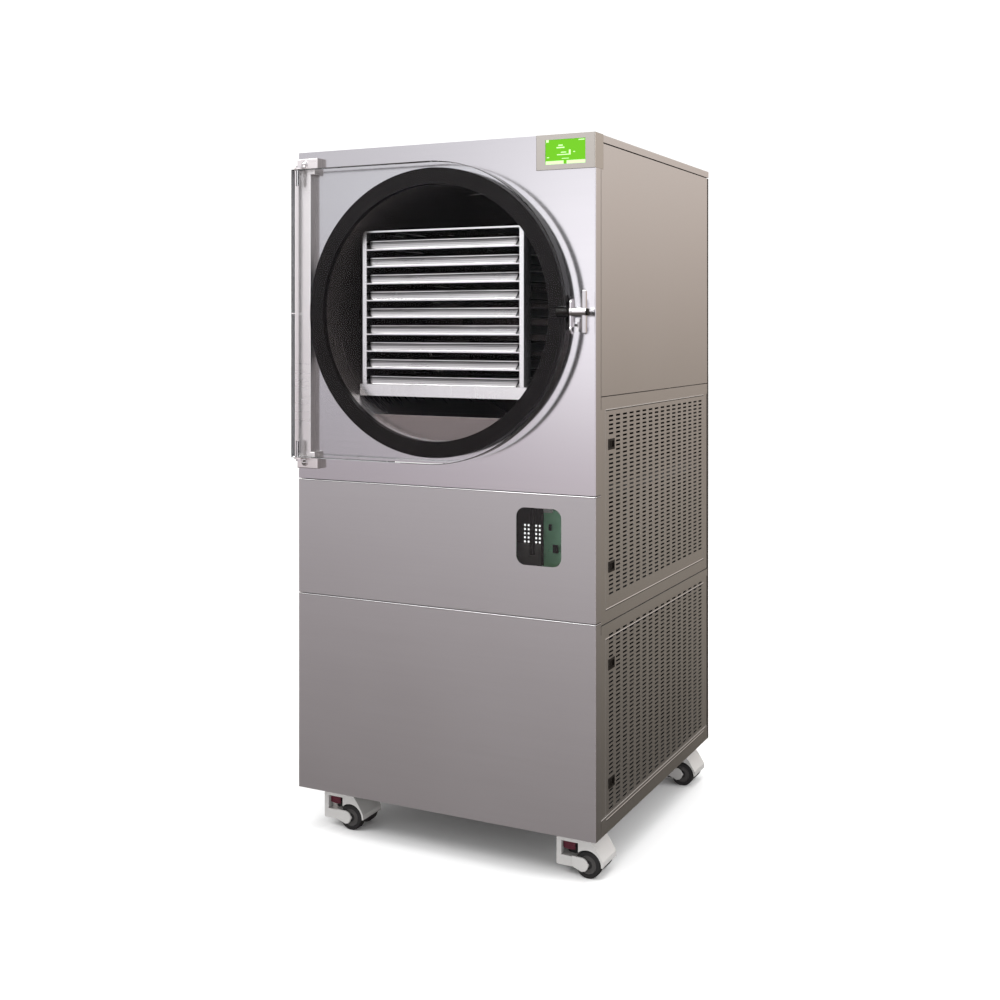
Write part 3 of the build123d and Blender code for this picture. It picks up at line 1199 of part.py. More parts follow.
with BuildPart() as control_board:
    board_end = board_x + BOARD_WIDTH
    block((board_x, board_y, board_z), (board_end, board_y + BOARD, board_top))
    block((board_x, bracket_y, DECK_TOP), (board_end, bracket_y + BOARD, board_top))
    block((board_x, bracket_y, DECK_TOP), (board_end, bracket_y + BRACKET_FOOT, DECK_TOP + BOARD))
    for x in (board_x + SPACER_INSET, board_end - SPACER_INSET):
        for z in (board_z + SPACER_INSET, board_top - SPACER_INSET):
            rod((x, board_y + BOARD / 2, z), (0, 1, 0), SPACER_RADIUS, BOARD + BRACKET_GAP)
    for i in range(RELAY_COUNT):
        component((RELAY_PLACE[0] + RELAY_PITCH * i, RELAY_PLACE[1]), RELAY)
    component(CHIP_PLACE, CHIP)
save(control_board.part, "control_board")
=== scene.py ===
import bpy
import bmesh
from math import cos, pi, radians, sin
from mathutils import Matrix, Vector


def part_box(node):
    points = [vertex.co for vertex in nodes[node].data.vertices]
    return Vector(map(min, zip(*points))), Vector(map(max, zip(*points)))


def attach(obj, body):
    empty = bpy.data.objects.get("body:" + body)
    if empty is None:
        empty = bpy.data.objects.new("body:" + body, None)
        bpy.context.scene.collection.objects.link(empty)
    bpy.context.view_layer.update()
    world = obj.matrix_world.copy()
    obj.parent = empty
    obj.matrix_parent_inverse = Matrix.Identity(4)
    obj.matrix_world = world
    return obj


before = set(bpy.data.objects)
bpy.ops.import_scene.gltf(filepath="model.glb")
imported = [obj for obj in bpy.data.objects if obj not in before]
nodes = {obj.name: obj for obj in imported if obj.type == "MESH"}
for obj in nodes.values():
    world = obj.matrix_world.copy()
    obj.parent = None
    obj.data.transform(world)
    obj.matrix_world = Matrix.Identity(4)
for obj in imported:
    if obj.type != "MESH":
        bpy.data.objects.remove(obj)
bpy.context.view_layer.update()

# ---- the room ----
# A seamless white floor under soft boxes. The freeze dryer stands in its middle, seen from the right of
# its front at the chamber's height, with the lens shifted down so that upright edges stay upright. What
# the steel mirrors grows darker towards the floor.
ROOM_SIZE = 60
CAMERA_PLACE = (1.509, -2.694, 1.162)  # from the cabinet's bottom front edge, at its middle
CAMERA_YAW = radians(26.53)
CAMERA_LENS = 46.5
CAMERA_SHIFT = -0.1735

cabinet_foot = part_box("lower_front_panel")[0]
front_y = cabinet_foot.y
base_z = cabinet_foot.z

camera_data = bpy.data.cameras.new("camera")
camera_data.lens = CAMERA_LENS
camera_data.shift_y = CAMERA_SHIFT
camera = bpy.data.objects.new("camera", camera_data)
camera.location = Vector((0, front_y, base_z)) + Vector(CAMERA_PLACE)
camera.rotation_euler = (pi / 2, 0, CAMERA_YAW)
bpy.context.scene.collection.objects.link(camera)
bpy.context.scene.camera = camera
bpy.context.scene.view_settings.view_transform = "Standard"


def add_nodes(tree, *kinds):
    """New nodes of the given kinds in a node tree."""
    return [tree.nodes.new(kind) for kind in kinds]


def join(tree, *pairs):
    """Links each output to the input that it is paired with."""
    for source, target in pairs:
        tree.links.new(source, target)


def chain(tree, *steps):
    """A row of maths nodes, each fed by the one before; a step is an operation and its other inputs."""
    last = None
    for operation, *given in steps:
        node = add_nodes(tree, "ShaderNodeMath")[0]
        node.operation = operation
        values = ([] if last is None else [last]) + given
        for socket, value in zip(node.inputs, values):
            if isinstance(value, (int, float)):
                socket.default_value = value
            else:
                tree.links.new(value, socket)
        last = node.outputs[0]
    return last


def set_range(node, low, high, to_low=0, to_high=1):
    """Sets which values a map range node takes and which it gives for them."""
    for name, value in (("From Min", low), ("From Max", high), ("To Min", to_low), ("To Max", to_high)):
        node.inputs[name].default_value = value


def fill_ramp(ramp, stops, low, high):
    """Puts colours on a ramp at values between low and high."""
    while len(ramp.elements) > 1:
        ramp.elements.remove(ramp.elements[-1])
    for index, (value, colour) in enumerate(stops):
        spot = (value - low) / (high - low)
        stop = ramp.elements[0] if index == 0 else ramp.elements.new(spot)
        stop.position = spot
        stop.color = (*colour, 1)


def mesh_object(name, bm):
    """An object from a finished bmesh, linked to the scene."""
    mesh = bpy.data.meshes.new(name)
    bm.to_mesh(mesh)
    bm.free()
    made = bpy.data.objects.new(name, mesh)
    bpy.context.scene.collection.objects.link(made)
    return made


def floor_material():
    """Matt white, and left out of what the steel mirrors."""
    material = bpy.data.materials.new("studio_floor")
    material.use_nodes = True
    tree = material.node_tree
    white = tree.nodes["Principled BSDF"]
    white.inputs["Base Color"].default_value = (0.95, 0.95, 0.95, 1)
    white.inputs["Roughness"].default_value = 1
    white.inputs["Specular IOR Level"].default_value = 0
    clear, mix, path = add_nodes(
        tree, "ShaderNodeBsdfTransparent", "ShaderNodeMixShader", "ShaderNodeLightPath"
    )
    join(
        tree,
        (path.outputs["Is Glossy Ray"], mix.inputs[0]),
        (white.outputs[0], mix.inputs[1]),
        (clear.outputs[0], mix.inputs[2]),
        (mix.outputs[0], tree.nodes["Material Output"].inputs["Surface"]),
    )
    return material


floor_mesh = bmesh.new()
bmesh.ops.create_grid(floor_mesh, x_segments=1, y_segments=1, size=ROOM_SIZE / 2)
floor = mesh_object("floor", floor_mesh)
floor.data.materials.append(floor_material())

# what is mirrored at each height, as the sine of its angle above the horizon
MIRRORED_REACH = 0.5
FRONT_MIRRORED = (
    (-0.50, (0.13, 0.115, 0.11)), (-0.36, (0.25, 0.23, 0.225)), (-0.22, (0.49, 0.44, 0.435)),
    (-0.12, (0.67, 0.60, 0.64)), (0.02, (0.92, 0.89, 0.94)), (0.10, (0.98, 0.96, 1.0)),
    (0.5, (0.92, 0.92, 0.92)),
)
SIDE_MIRRORED = (
    (-0.50, (0.04, 0.036, 0.032)), (-0.36, (0.055, 0.05, 0.043)), (-0.29, (0.12, 0.105, 0.088)),
    (-0.21, (0.27, 0.24, 0.20)), (-0.12, (0.33, 0.285, 0.242)), (-0.05, (0.41, 0.35, 0.30)),
    (0.03, (0.60, 0.50, 0.44)), (0.13, (0.92, 0.80, 0.73)), (0.5, (0.92, 0.90, 0.88)),
)
FRONT_TO_SIDE = 0.3  # the two mirrored rooms blend over this much each way of square
ASIDE = (-0.56, -0.38)  # the room in front is dimmer towards the left
ASIDE_GAIN = (0.78, 1.13)
GLOW_TOWARDS = (-0.365, -0.93, 0.03)  # a window's glow, low in front
GLOW_SPREAD = (0.991, 0.9992)
GLOW = 0.4
WHITE = 1.15
NOT_MIRRORED = 0.5  # a ray with fewer mirrorings than this has met no mirror

world = bpy.data.worlds.new("studio")
bpy.context.scene.world = world
world.use_nodes = True
sky = world.node_tree
sky.nodes.clear()
place, split, path, light, out = add_nodes(
    sky, "ShaderNodeTexCoord", "ShaderNodeSeparateXYZ", "ShaderNodeLightPath",
    "ShaderNodeBackground", "ShaderNodeOutputWorld",
)
rise, side, across, glow = add_nodes(sky, *["ShaderNodeMapRange"] * 4)
front_tone, side_tone = add_nodes(sky, *["ShaderNodeValToRGB"] * 2)
dimmed, towards, lit = add_nodes(sky, *["ShaderNodeVectorMath"] * 3)
around, seen = add_nodes(sky, *["ShaderNodeMix"] * 2)
dimmed.operation, towards.operation, lit.operation = "SCALE", "DOT_PRODUCT", "ADD"
side.interpolation_type = glow.interpolation_type = "SMOOTHSTEP"
around.data_type = seen.data_type = "RGBA"
set_range(rise, -MIRRORED_REACH, MIRRORED_REACH)
set_range(side, -FRONT_TO_SIDE, FRONT_TO_SIDE)
set_range(across, *ASIDE, *ASIDE_GAIN)
set_range(glow, *GLOW_SPREAD, 0, GLOW)
fill_ramp(front_tone.color_ramp, FRONT_MIRRORED, -MIRRORED_REACH, MIRRORED_REACH)
fill_ramp(side_tone.color_ramp, SIDE_MIRRORED, -MIRRORED_REACH, MIRRORED_REACH)
towards.inputs[1].default_value = Vector(GLOW_TOWARDS).normalized()
seen.inputs["B"].default_value = (WHITE, WHITE, WHITE, 1)
# plain white for what is seen directly or only through something clear, and for soft light
straight = chain(sky, ("LESS_THAN", path.outputs["Glossy Depth"], NOT_MIRRORED))
through = chain(sky, ("MULTIPLY", path.outputs["Is Transmission Ray"], straight))
plain = chain(
    sky, ("MAXIMUM", path.outputs["Is Camera Ray"], path.outputs["Is Diffuse Ray"]), ("MAXIMUM", through)
)
join(
    sky,
    (place.outputs["Generated"], split.inputs[0]),
    (place.outputs["Generated"], towards.inputs[0]),
    (split.outputs["X"], across.inputs["Value"]),
    (split.outputs["Y"], side.inputs["Value"]),
    (split.outputs["Z"], rise.inputs["Value"]),
    (rise.outputs[0], front_tone.inputs[0]),
    (rise.outputs[0], side_tone.inputs[0]),
    (front_tone.outputs[0], dimmed.inputs[0]),
    (across.outputs[0], dimmed.inputs["Scale"]),
    (towards.outputs["Value"], glow.inputs["Value"]),
    (dimmed.outputs[0], lit.inputs[0]),
    (glow.outputs[0], lit.inputs[1]),
    (side.outputs[0], around.inputs["Factor"]),
    (lit.outputs[0], around.inputs["A"]),
    (side_tone.outputs[0], around.inputs["B"]),
    (plain, seen.inputs["Factor"]),
    (around.outputs["Result"], seen.inputs["A"]),
    (seen.outputs["Result"], light.inputs["Color"]),
    (light.outputs[0], out.inputs[0]),
)

SOFT_BOXES = {  # place, size and power
    "key": ((-2.2, -3.4, 4.6), (2.0, 2.0), 95),
    "top": ((0.4, -0.4, 5.0), (3.5, 3.5), 120),
    "right_fill": ((4.6, 1.2, 3.6), (2.0, 2.0), 60),
}
SOFT_BOX_AIM = (0, 0, 0.9)
for name, (lamp_place, size, power) in SOFT_BOXES.items():
    lamp = bpy.data.lights.new(name, "AREA")
    lamp.shape = "RECTANGLE"
    lamp.size, lamp.size_y = size
    lamp.energy = power
    soft_box = bpy.data.objects.new(name, lamp)
    soft_box.location = lamp_place
    aim = Vector(SOFT_BOX_AIM) - Vector(lamp_place)
    soft_box.rotation_euler = aim.to_track_quat("-Z", "Y").to_euler()
    bpy.context.scene.collection.objects.link(soft_box)

# ---- casters ----
# Each is an ivory painted casting on a plated swivel plate, with twin black wheels on one axle. A
# maroon thumb dial inside the casting screws its rubber foot down to the floor.


def sockets(group, inputs, outputs):
    """Gives a node group its named sockets."""
    for names, way in ((inputs, "INPUT"), (outputs, "OUTPUT")):
        for name, kind in names.items():
            group.interface.new_socket(name, in_out=way, socket_type=f"NodeSocket{kind}")


GRAIN_DETAIL = 5
CLOUD_DETAIL = 3
GRAIN_SHARE = 0.4  # how much of a surface's tone its grain makes; its clouds make the rest
TONE_SPAN = (0.3, 0.7)  # the tones from its smoothest to its roughest spots


def variation_group():
    """Colour, roughness and height that change over a surface, along and across its grain."""
    group = bpy.data.node_groups.new("surface_variation", "ShaderNodeTree")
    sockets(
        group,
        {
            "Stretch": "Vector", "Light": "Color", "Dark": "Color",
            "Smooth": "Float", "Rough": "Float", "Cloud Size": "Float",
        },
        {"Color": "Color", "Roughness": "Float", "Height": "Float"},
    )
    given, gives, where, stretch, grain, cloud, tone, rough = add_nodes(
        group, "NodeGroupInput", "NodeGroupOutput", "ShaderNodeTexCoord", "ShaderNodeVectorMath",
        "ShaderNodeTexNoise", "ShaderNodeTexNoise", "ShaderNodeMix", "ShaderNodeMapRange",
    )
    stretch.operation = "MULTIPLY"
    grain.inputs["Scale"].default_value = 1
    grain.inputs["Detail"].default_value = GRAIN_DETAIL
    cloud.inputs["Detail"].default_value = CLOUD_DETAIL
    tone.data_type = "RGBA"
    set_range(rough, *TONE_SPAN)
    clouds = chain(group, ("MULTIPLY", cloud.outputs["Fac"], 1 - GRAIN_SHARE))
    blend = chain(group, ("MULTIPLY_ADD", grain.outputs["Fac"], GRAIN_SHARE, clouds))
    join(
        group,
        (where.outputs["Object"], stretch.inputs[0]),
        (given.outputs["Stretch"], stretch.inputs[1]),
        (stretch.outputs[0], grain.inputs["Vector"]),
        (where.outputs["Object"], cloud.inputs["Vector"]),
        (given.outputs["Cloud Size"], cloud.inputs["Scale"]),
        (blend, tone.inputs["Factor"]),
        (given.outputs["Dark"], tone.inputs["A"]),
        (given.outputs["Light"], tone.inputs["B"]),
        (blend, rough.inputs["Value"]),
        (given.outputs["Smooth"], rough.inputs["To Min"]),
        (given.outputs["Rough"], rough.inputs["To Max"]),
        (tone.outputs["Result"], gives.inputs["Color"]),
        (rough.outputs[0], gives.inputs["Roughness"]),
        (grain.outputs["Fac"], gives.inputs["Height"]),
    )
    return group


surface_variation = variation_group()


def surface(
    name, light, dark, smooth, rough, stretch=(40, 40, 40), bump=0.1, depth=0.0002, cloud=3, **set_values
):
    """A material whose colour, roughness and relief vary; set_values go on the shader's own sockets."""
    material = bpy.data.materials.new(name)
    material.use_nodes = True
    tree = material.node_tree
    shader = tree.nodes["Principled BSDF"]
    varied, relief = add_nodes(tree, "ShaderNodeGroup", "ShaderNodeBump")
    varied.node_tree = surface_variation
    for socket, value in (
        ("Stretch", stretch), ("Light", (*light, 1)), ("Dark", (*dark, 1)), ("Smooth", smooth),
        ("Rough", rough), ("Cloud Size", cloud),
    ):
        varied.inputs[socket].default_value = value
    relief.inputs["Strength"].default_value = bump
    relief.inputs["Distance"].default_value = depth
    join(
        tree,
        (varied.outputs["Color"], shader.inputs["Base Color"]),
        (varied.outputs["Roughness"], shader.inputs["Roughness"]),
        (varied.outputs["Height"], relief.inputs["Height"]),
        (relief.outputs[0], shader.inputs["Normal"]),
    )
    for socket, value in set_values.items():
        shader.inputs[socket.replace("_", " ")].default_value = value
    return material


def dress(material, *names):
    """Gives CAD nodes this material in their own slots."""
    for name in names:
        slots = nodes[name].data.materials
        slots.clear()
        slots.append(material)


def add_turned(bm, place, axis, profile, segments, start=0, turn=2 * pi):
    """A turned shape: profile is pairs of radius and height along the axis, added to a bmesh."""
    tilt = Vector((0, 0, 1)).rotation_difference(Vector(axis)).to_matrix()
    steps = segments if turn >= 2 * pi else segments + 1
    rings = []
    for radius, height in profile:
        if radius == 0:
            rings.append([bm.verts.new(tilt @ Vector((0, 0, height)) + Vector(place))])
            continue
        angles = [start + turn * i / segments for i in range(steps)]
        spots = [Vector((radius * cos(a), radius * sin(a), height)) for a in angles]
        rings.append([bm.verts.new(tilt @ spot + Vector(place)) for spot in spots])
    for first, second in zip(rings, rings[1:]):
        for i in range(segments):
            j = (i + 1) % steps
            corners = [
                first[i % len(first)], first[j % len(first)],
                second[j % len(second)], second[i % len(second)],
            ]
            corners = list(dict.fromkeys(corners))
            if len(corners) > 2:
                bm.faces.new(corners)


def add_plate(bm, outline, near, far, bevel):
    """A flat plate across X and Z between two Y values, its near edge eased inwards, added to a bmesh."""
    middle = Vector((sum(x for x, _ in outline), sum(z for _, z in outline))) / len(outline)
    rings = []
    for y, ease in ((far, 0), (near + (bevel if far > near else -bevel), 0), (near, bevel)):
        ring = []
        for x, z in outline:
            inwards = (middle - Vector((x, z))).normalized() * ease
            ring.append(bm.verts.new((x + inwards.x, y, z + inwards.y)))
        rings.append(ring)
    for first, second in zip(rings, rings[1:]):
        for i in range(len(outline)):
            j = (i + 1) % len(outline)
            bm.faces.new((first[i], first[j], second[j], second[i]))
    bm.faces.new(rings[0])
    bm.faces.new(rings[-1])


def finish_piece(name, bm, body, material, flat_angle=0.6):
    """Turns a bmesh into a piece of the machine that moves with one of its bodies."""
    bmesh.ops.recalc_face_normals(bm, faces=bm.faces)
    for face in bm.faces:
        face.smooth = True
    for edge in bm.edges:
        edge.smooth = len(edge.link_faces) == 2 and edge.calc_face_angle(0) < flat_angle
    made = mesh_object(name, bm)
    made.data.materials.append(material)
    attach(made, body)


def box_middle(name):
    """The middle of a CAD node's box."""
    low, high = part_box(name)
    return (low + high) / 2


ivory_paint = surface(
    "ivory_paint", (0.50, 0.49, 0.48), (0.41, 0.40, 0.39), 0.28, 0.45,
    stretch=(60, 60, 60), bump=0.15, Coat_Weight=0.3,
)
black_tread = surface(
    "black_tread", (0.012, 0.011, 0.011), (0.006, 0.006, 0.006), 0.45, 0.7,
    stretch=(90, 90, 90), bump=0.3,
)
plated_steel = surface(
    "plated_steel", (0.62, 0.62, 0.61), (0.48, 0.48, 0.47), 0.2, 0.38,
    stretch=(50, 50, 50), bump=0.05, Metallic=1,
)
foot_rubber = surface(
    "foot_rubber", (0.02, 0.018, 0.018), (0.010, 0.009, 0.009), 0.5, 0.7,
    stretch=(80, 80, 80), bump=0.2,
)
dial_maroon = surface(
    "dial_maroon", (0.11, 0.006, 0.022), (0.07, 0.003, 0.013), 0.4, 0.55,
    stretch=(90, 90, 90), bump=0.2,
)
cap_grey = surface(
    "cap_grey", (0.055, 0.052, 0.05), (0.035, 0.033, 0.032), 0.35, 0.5,
    stretch=(90, 90, 90), bump=0.15,
)
# radius and height off the wheel's face
CAP_PROFILE = (
    (0.0103, -0.0029), (0.0103, -0.0014), (0.0125, -0.0009), (0.0150, -0.0017), (0.0185, -0.0017),
    (0.0205, -0.0009), (0.0214, -0.0014), (0.0214, -0.0029),
)
AXLE_PROFILE = ((0.0048, 0.0), (0.0048, 0.0014), (0.0040, 0.0021), (0.0, 0.0023))


def make_wheel_faces(corner):
    """A grey cap and a plated axle head on the outer face of each wheel."""
    wheels_low, wheels_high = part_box(f"caster_wheels_{corner}")
    hub = box_middle(f"caster_wheels_{corner}")
    caps = bmesh.new()
    heads = bmesh.new()
    for y, way in ((wheels_low.y, -1), (wheels_high.y, 1)):
        add_turned(caps, (hub.x, y, hub.z), (0, way, 0), CAP_PROFILE, segments=40)
        add_turned(heads, (hub.x, y, hub.z), (0, way, 0), AXLE_PROFILE, segments=24)
    finish_piece(f"wheel_caps_{corner}", caps, f"wheels_{corner}", cap_grey)
    finish_piece(f"axle_heads_{corner}", heads, f"wheels_{corner}", plated_steel)


DIAL_BAND = (0.0225, 0.0045)  # the dial's foot and top below the top of its stem
DIAL_CORE = 0.021
DIAL_SUNK = 0.0035  # the grip's outside below the casting's sides
DIAL_EASE = 0.0008
DIAL_FRONT = radians(28)  # the grip's reach towards the casting's flat end
DIAL_SWEEP = radians(45)
RIB_COUNT = 16
RIB_RADIUS = 0.0007
RIB_EASE = 0.0004
RIB_INSET = 0.001


def make_dial_grip(corner):
    """The ribbed rim of the thumb dial, where it shows in the casting's two side openings."""
    casting_low, casting_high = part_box(f"caster_housing_{corner}")
    stem = box_middle(f"levelling_foot_{corner}")
    stem_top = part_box(f"levelling_foot_{corner}")[1].z
    low, high = (stem_top - drop for drop in DIAL_BAND)
    outer = (casting_high.y - casting_low.y) / 2 - DIAL_SUNK
    rim = (
        (DIAL_CORE, low), (outer - DIAL_EASE, low), (outer, low + DIAL_EASE),
        (outer, high - DIAL_EASE), (outer - DIAL_EASE, high), (DIAL_CORE, high),
    )
    rib_tall = high - low - 2 * RIB_INSET
    rib = ((0, 0), (RIB_RADIUS, RIB_EASE), (RIB_RADIUS, rib_tall), (0, rib_tall))
    grip = bmesh.new()
    for start in (-pi / 2 - DIAL_FRONT, pi / 2 + DIAL_FRONT - DIAL_SWEEP):
        add_turned(grip, (stem.x, stem.y, 0), (0, 0, 1), rim, RIB_COUNT, start, DIAL_SWEEP)
        for i in range(RIB_COUNT + 1):
            angle = start + DIAL_SWEEP * i / RIB_COUNT
            spot = (stem.x + outer * cos(angle), stem.y + outer * sin(angle), low + RIB_INSET)
            add_turned(grip, spot, (0, 0, 1), rib, segments=6)
    finish_piece(f"dial_grip_{corner}", grip, f"foot_{corner}", dial_maroon)


CHEEK_RADIUS = 0.0165
CHEEK_PROUD = 0.0035
CHEEK_BACK = 0.0135  # the cheek's round end before the wheels' axle
CHEEK_ANGLES = [radians(angle) for angle in (90, 65, 40, 15, -10, -35, -60, -90)]
CHEEK_FRONT = 0.006  # its flat end behind the stem
CHEEK_HEIGHTS = (0.002, 0.026)  # that end's foot and top above the casting's foot
CHEEK_EASE = 0.0012
SEAT = 0.0002  # how far an added piece's back lies off or in the face that it sits on


def make_wheel_cheeks(corner):
    """The raised cheeks of the casting that hold the wheels' axle."""
    casting_low, casting_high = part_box(f"caster_housing_{corner}")
    hub = box_middle(f"caster_wheels_{corner}")
    flat_x = box_middle(f"levelling_foot_{corner}").x + CHEEK_FRONT
    round_x = hub.x - CHEEK_BACK
    outline = [(round_x + CHEEK_RADIUS * cos(a), hub.z + CHEEK_RADIUS * sin(a)) for a in CHEEK_ANGLES]
    outline += [(flat_x, casting_low.z + height) for height in CHEEK_HEIGHTS]
    cheeks = bmesh.new()
    for y, way in ((casting_low.y, -1), (casting_high.y, 1)):
        add_plate(cheeks, outline, y + way * CHEEK_PROUD, y + way * SEAT, CHEEK_EASE)
    finish_piece(f"wheel_cheeks_{corner}", cheeks, f"caster_{corner}", ivory_paint)


dress(plated_steel, "caster_mount_plates")
for corner in ("front_left", "front_right", "rear_left", "rear_right"):
    dress(ivory_paint, f"caster_housing_{corner}")
    dress(black_tread, f"caster_wheels_{corner}")
    dress(foot_rubber, f"levelling_foot_{corner}")
    make_wheel_faces(corner)
    make_dial_grip(corner)
    make_wheel_cheeks(corner)

# ---- floor pan and frame ----
# The frame is welded from square steel tube and painted grey. The floor pan under it is folded sheet in
# the same paint, and the casters bolt on below.
frame_paint = surface(
    "frame_paint", (0.13, 0.13, 0.13), (0.10, 0.10, 0.10), 0.4, 0.6,
    stretch=(30, 30, 30), bump=0.1,
)
dress(frame_paint, "cabinet_frame", "floor_pan")

# ---- front covers ----
# Folded stainless sheet, hooked on the frame. The fascia round the chamber is polished nearly to a
# mirror; the two covers below it keep the mill's satin finish and have a folded hem along the top.
LINE_ROUNDING = 0.3
BEYOND = 1  # half a pressed line's box in the directions where it has no edge


def pressed_line_group():
    """A raised line along the faces of a box, for a pressed rim or a folded hem."""
    group = bpy.data.node_groups.new("pressed_line", "ShaderNodeTree")
    sockets(group, {"Middle": "Vector", "Half": "Vector", "Width": "Float"}, {"Line": "Float"})
    given, gives, where, away, size, past, split = add_nodes(
        group, "NodeGroupInput", "NodeGroupOutput", "ShaderNodeTexCoord", "ShaderNodeVectorMath",
        "ShaderNodeVectorMath", "ShaderNodeVectorMath", "ShaderNodeSeparateXYZ",
    )
    away.operation, size.operation, past.operation = "SUBTRACT", "ABSOLUTE", "SUBTRACT"
    join(
        group,
        (where.outputs["Object"], away.inputs[0]),
        (given.outputs["Middle"], away.inputs[1]),
        (away.outputs[0], size.inputs[0]),
        (size.outputs[0], past.inputs[0]),
        (given.outputs["Half"], past.inputs[1]),
        (past.outputs[0], split.inputs[0]),
    )
    line = chain(
        group,
        ("MAXIMUM", split.outputs["X"], split.outputs["Y"]),
        ("MAXIMUM", split.outputs["Z"]),
        ("ABSOLUTE",),
        ("DIVIDE", given.outputs["Width"]),
        ("SMOOTH_MIN", 1, LINE_ROUNDING),
        ("SUBTRACT", 1),
        ("MULTIPLY", -1),
    )
    join(group, (line, gives.inputs[0]))
    return group


FACING_SPAN = (0.6, 0.95)  # how squarely a face looks the way where its mask starts and is full


def facing_group():
    """A mask of the faces that look the given way."""
    group = bpy.data.node_groups.new("facing", "ShaderNodeTree")
    sockets(group, {"Way": "Vector"}, {"Mask": "Float"})
    given, gives, face, match, step = add_nodes(
        group, "NodeGroupInput", "NodeGroupOutput", "ShaderNodeNewGeometry", "ShaderNodeVectorMath",
        "ShaderNodeMapRange",
    )
    match.operation = "DOT_PRODUCT"
    set_range(step, *FACING_SPAN)
    join(
        group,
        (face.outputs["Normal"], match.inputs[0]),
        (given.outputs["Way"], match.inputs[1]),
        (match.outputs["Value"], step.inputs["Value"]),
        (step.outputs[0], gives.inputs[0]),
    )
    return group


pressed_line = pressed_line_group()
facing = facing_group()


def press(material, middle, half, width, height):
    """Presses a raised line into a material, on top of the relief that it has."""
    tree = material.node_tree
    shader = tree.nodes["Principled BSDF"]
    before = shader.inputs["Normal"].links[0].from_socket
    line, relief = add_nodes(tree, "ShaderNodeGroup", "ShaderNodeBump")
    line.node_tree = pressed_line
    line.inputs["Middle"].default_value = middle
    line.inputs["Half"].default_value = half
    line.inputs["Width"].default_value = width
    relief.inputs["Distance"].default_value = height
    join(
        tree,
        (line.outputs[0], relief.inputs["Height"]),
        (before, relief.inputs["Normal"]),
        (relief.outputs[0], shader.inputs["Normal"]),
    )


def retone(material, way, colour, roughness):
    """Gives the faces of a material that look one way another colour and roughness: painted light or shade
    by the way a face looks.
    """
    tree = material.node_tree
    shader = tree.nodes["Principled BSDF"]
    mask, tone, finish = add_nodes(tree, "ShaderNodeGroup", "ShaderNodeMix", "ShaderNodeMix")
    mask.node_tree = facing
    mask.inputs["Way"].default_value = way
    tone.data_type = "RGBA"
    tone.inputs["B"].default_value = (*colour, 1)
    finish.inputs["B"].default_value = roughness
    for mixer, name in ((tone, "Base Color"), (finish, "Roughness")):
        join(
            tree,
            (shader.inputs[name].links[0].from_socket, mixer.inputs["A"]),
            (mask.outputs[0], mixer.inputs["Factor"]),
            (mixer.outputs["Result"], shader.inputs[name]),
        )


polished_fascia = surface(
    "polished_fascia", (0.70, 0.69, 0.71), (0.66, 0.65, 0.67), 0.13, 0.19,
    stretch=(3, 3, 160), bump=0.02, depth=0.0001, cloud=1.2, Metallic=1,
)
# painted shade: the fascia's faces that look right are darker, and rougher
retone(polished_fascia, (1, 0, 0), (0.61, 0.60, 0.59), 0.34)
dress(polished_fascia, "fascia_panel")
satin_front = surface(
    "satin_front", (0.64, 0.63, 0.635), (0.58, 0.57, 0.575), 0.30, 0.38,
    stretch=(3, 3, 260), bump=0.04, depth=0.0001, cloud=1.5, Metallic=1,
)
HEM_DROP = 0.0014  # middle of a cover's folded top edge, under its seam
HEM_WIDTH = 0.0011
HEM_RELIEF = 0.0006
for cover in ("service_panel", "lower_front_panel"):
    hem_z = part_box(cover)[1].z - HEM_DROP
    press(satin_front, (0, 0, hem_z - BEYOND / 2), (BEYOND, BEYOND, BEYOND / 2), HEM_WIDTH, HEM_RELIEF)
dress(satin_front, "service_panel", "lower_front_panel")

# ---- side, top and back covers ----
# The same satin stainless, folded into shallow pans that hang on the frame, with a pressed rim round
# each field of slots. The left and back covers' inner faces are painted dark as shade for the
# cabinet's inside, and screws hold the back one.
satin_cover = surface(
    "satin_cover", (0.64, 0.63, 0.62), (0.58, 0.57, 0.56), 0.30, 0.38,
    stretch=(3, 260, 3), bump=0.04, depth=0.0001, cloud=1.5, Metallic=1,
)
cover_with_painted_shade = satin_cover.copy()
cover_with_painted_shade.name = "cover_with_painted_shade"
GRILLE_RIMS = {"right_middle_grille": 0.031, "right_lower_grille": 0.036}  # each rim's drop from the top
RIM_INSET = 0.030  # and from the other edges
RIM_WIDTH = 0.002
RIM_RELIEF = 0.0012
for name, drop in GRILLE_RIMS.items():
    low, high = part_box(name)
    rim_low = low + Vector((0, RIM_INSET, RIM_INSET))
    rim_high = high - Vector((0, RIM_INSET, drop))
    middle, half = (rim_low + rim_high) / 2, (rim_high - rim_low) / 2
    press(satin_cover, (0, middle.y, middle.z), (BEYOND, half.y, half.z), RIM_WIDTH, RIM_RELIEF)
dress(satin_cover, "right_upper_panel", "right_middle_grille", "right_lower_grille", "top_cover")
# painted shade: the inner faces of the left and back covers are dark, for the shade inside the cabinet
for way in ((1, 0, 0), (0, -1, 0)):
    retone(cover_with_painted_shade, way, (0.11, 0.10, 0.088), 0.8)
dress(cover_with_painted_shade, "left_side_panel", "back_panel")
SCREW_PROFILE = (
    (0.0045, 0.0), (0.0045, 0.0006), (0.0036, 0.0016), (0.0016, 0.0021), (0.0014, 0.0012), (0.0, 0.0012),
)
SCREW_INSET = 0.014
SCREW_ROWS = 7
back_low, back_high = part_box("back_panel")
screw_rise = back_high.z - back_low.z - 2 * SCREW_INSET
screws = bmesh.new()
for i in range(SCREW_ROWS):
    z = back_low.z + SCREW_INSET + screw_rise * i / (SCREW_ROWS - 1)
    for x in (back_low.x + SCREW_INSET, back_high.x - SCREW_INSET):
        add_turned(screws, (x, back_high.y, z), (0, 1, 0), SCREW_PROFILE, segments=16)
finish_piece("back_screws", screws, "cabinet", plated_steel)

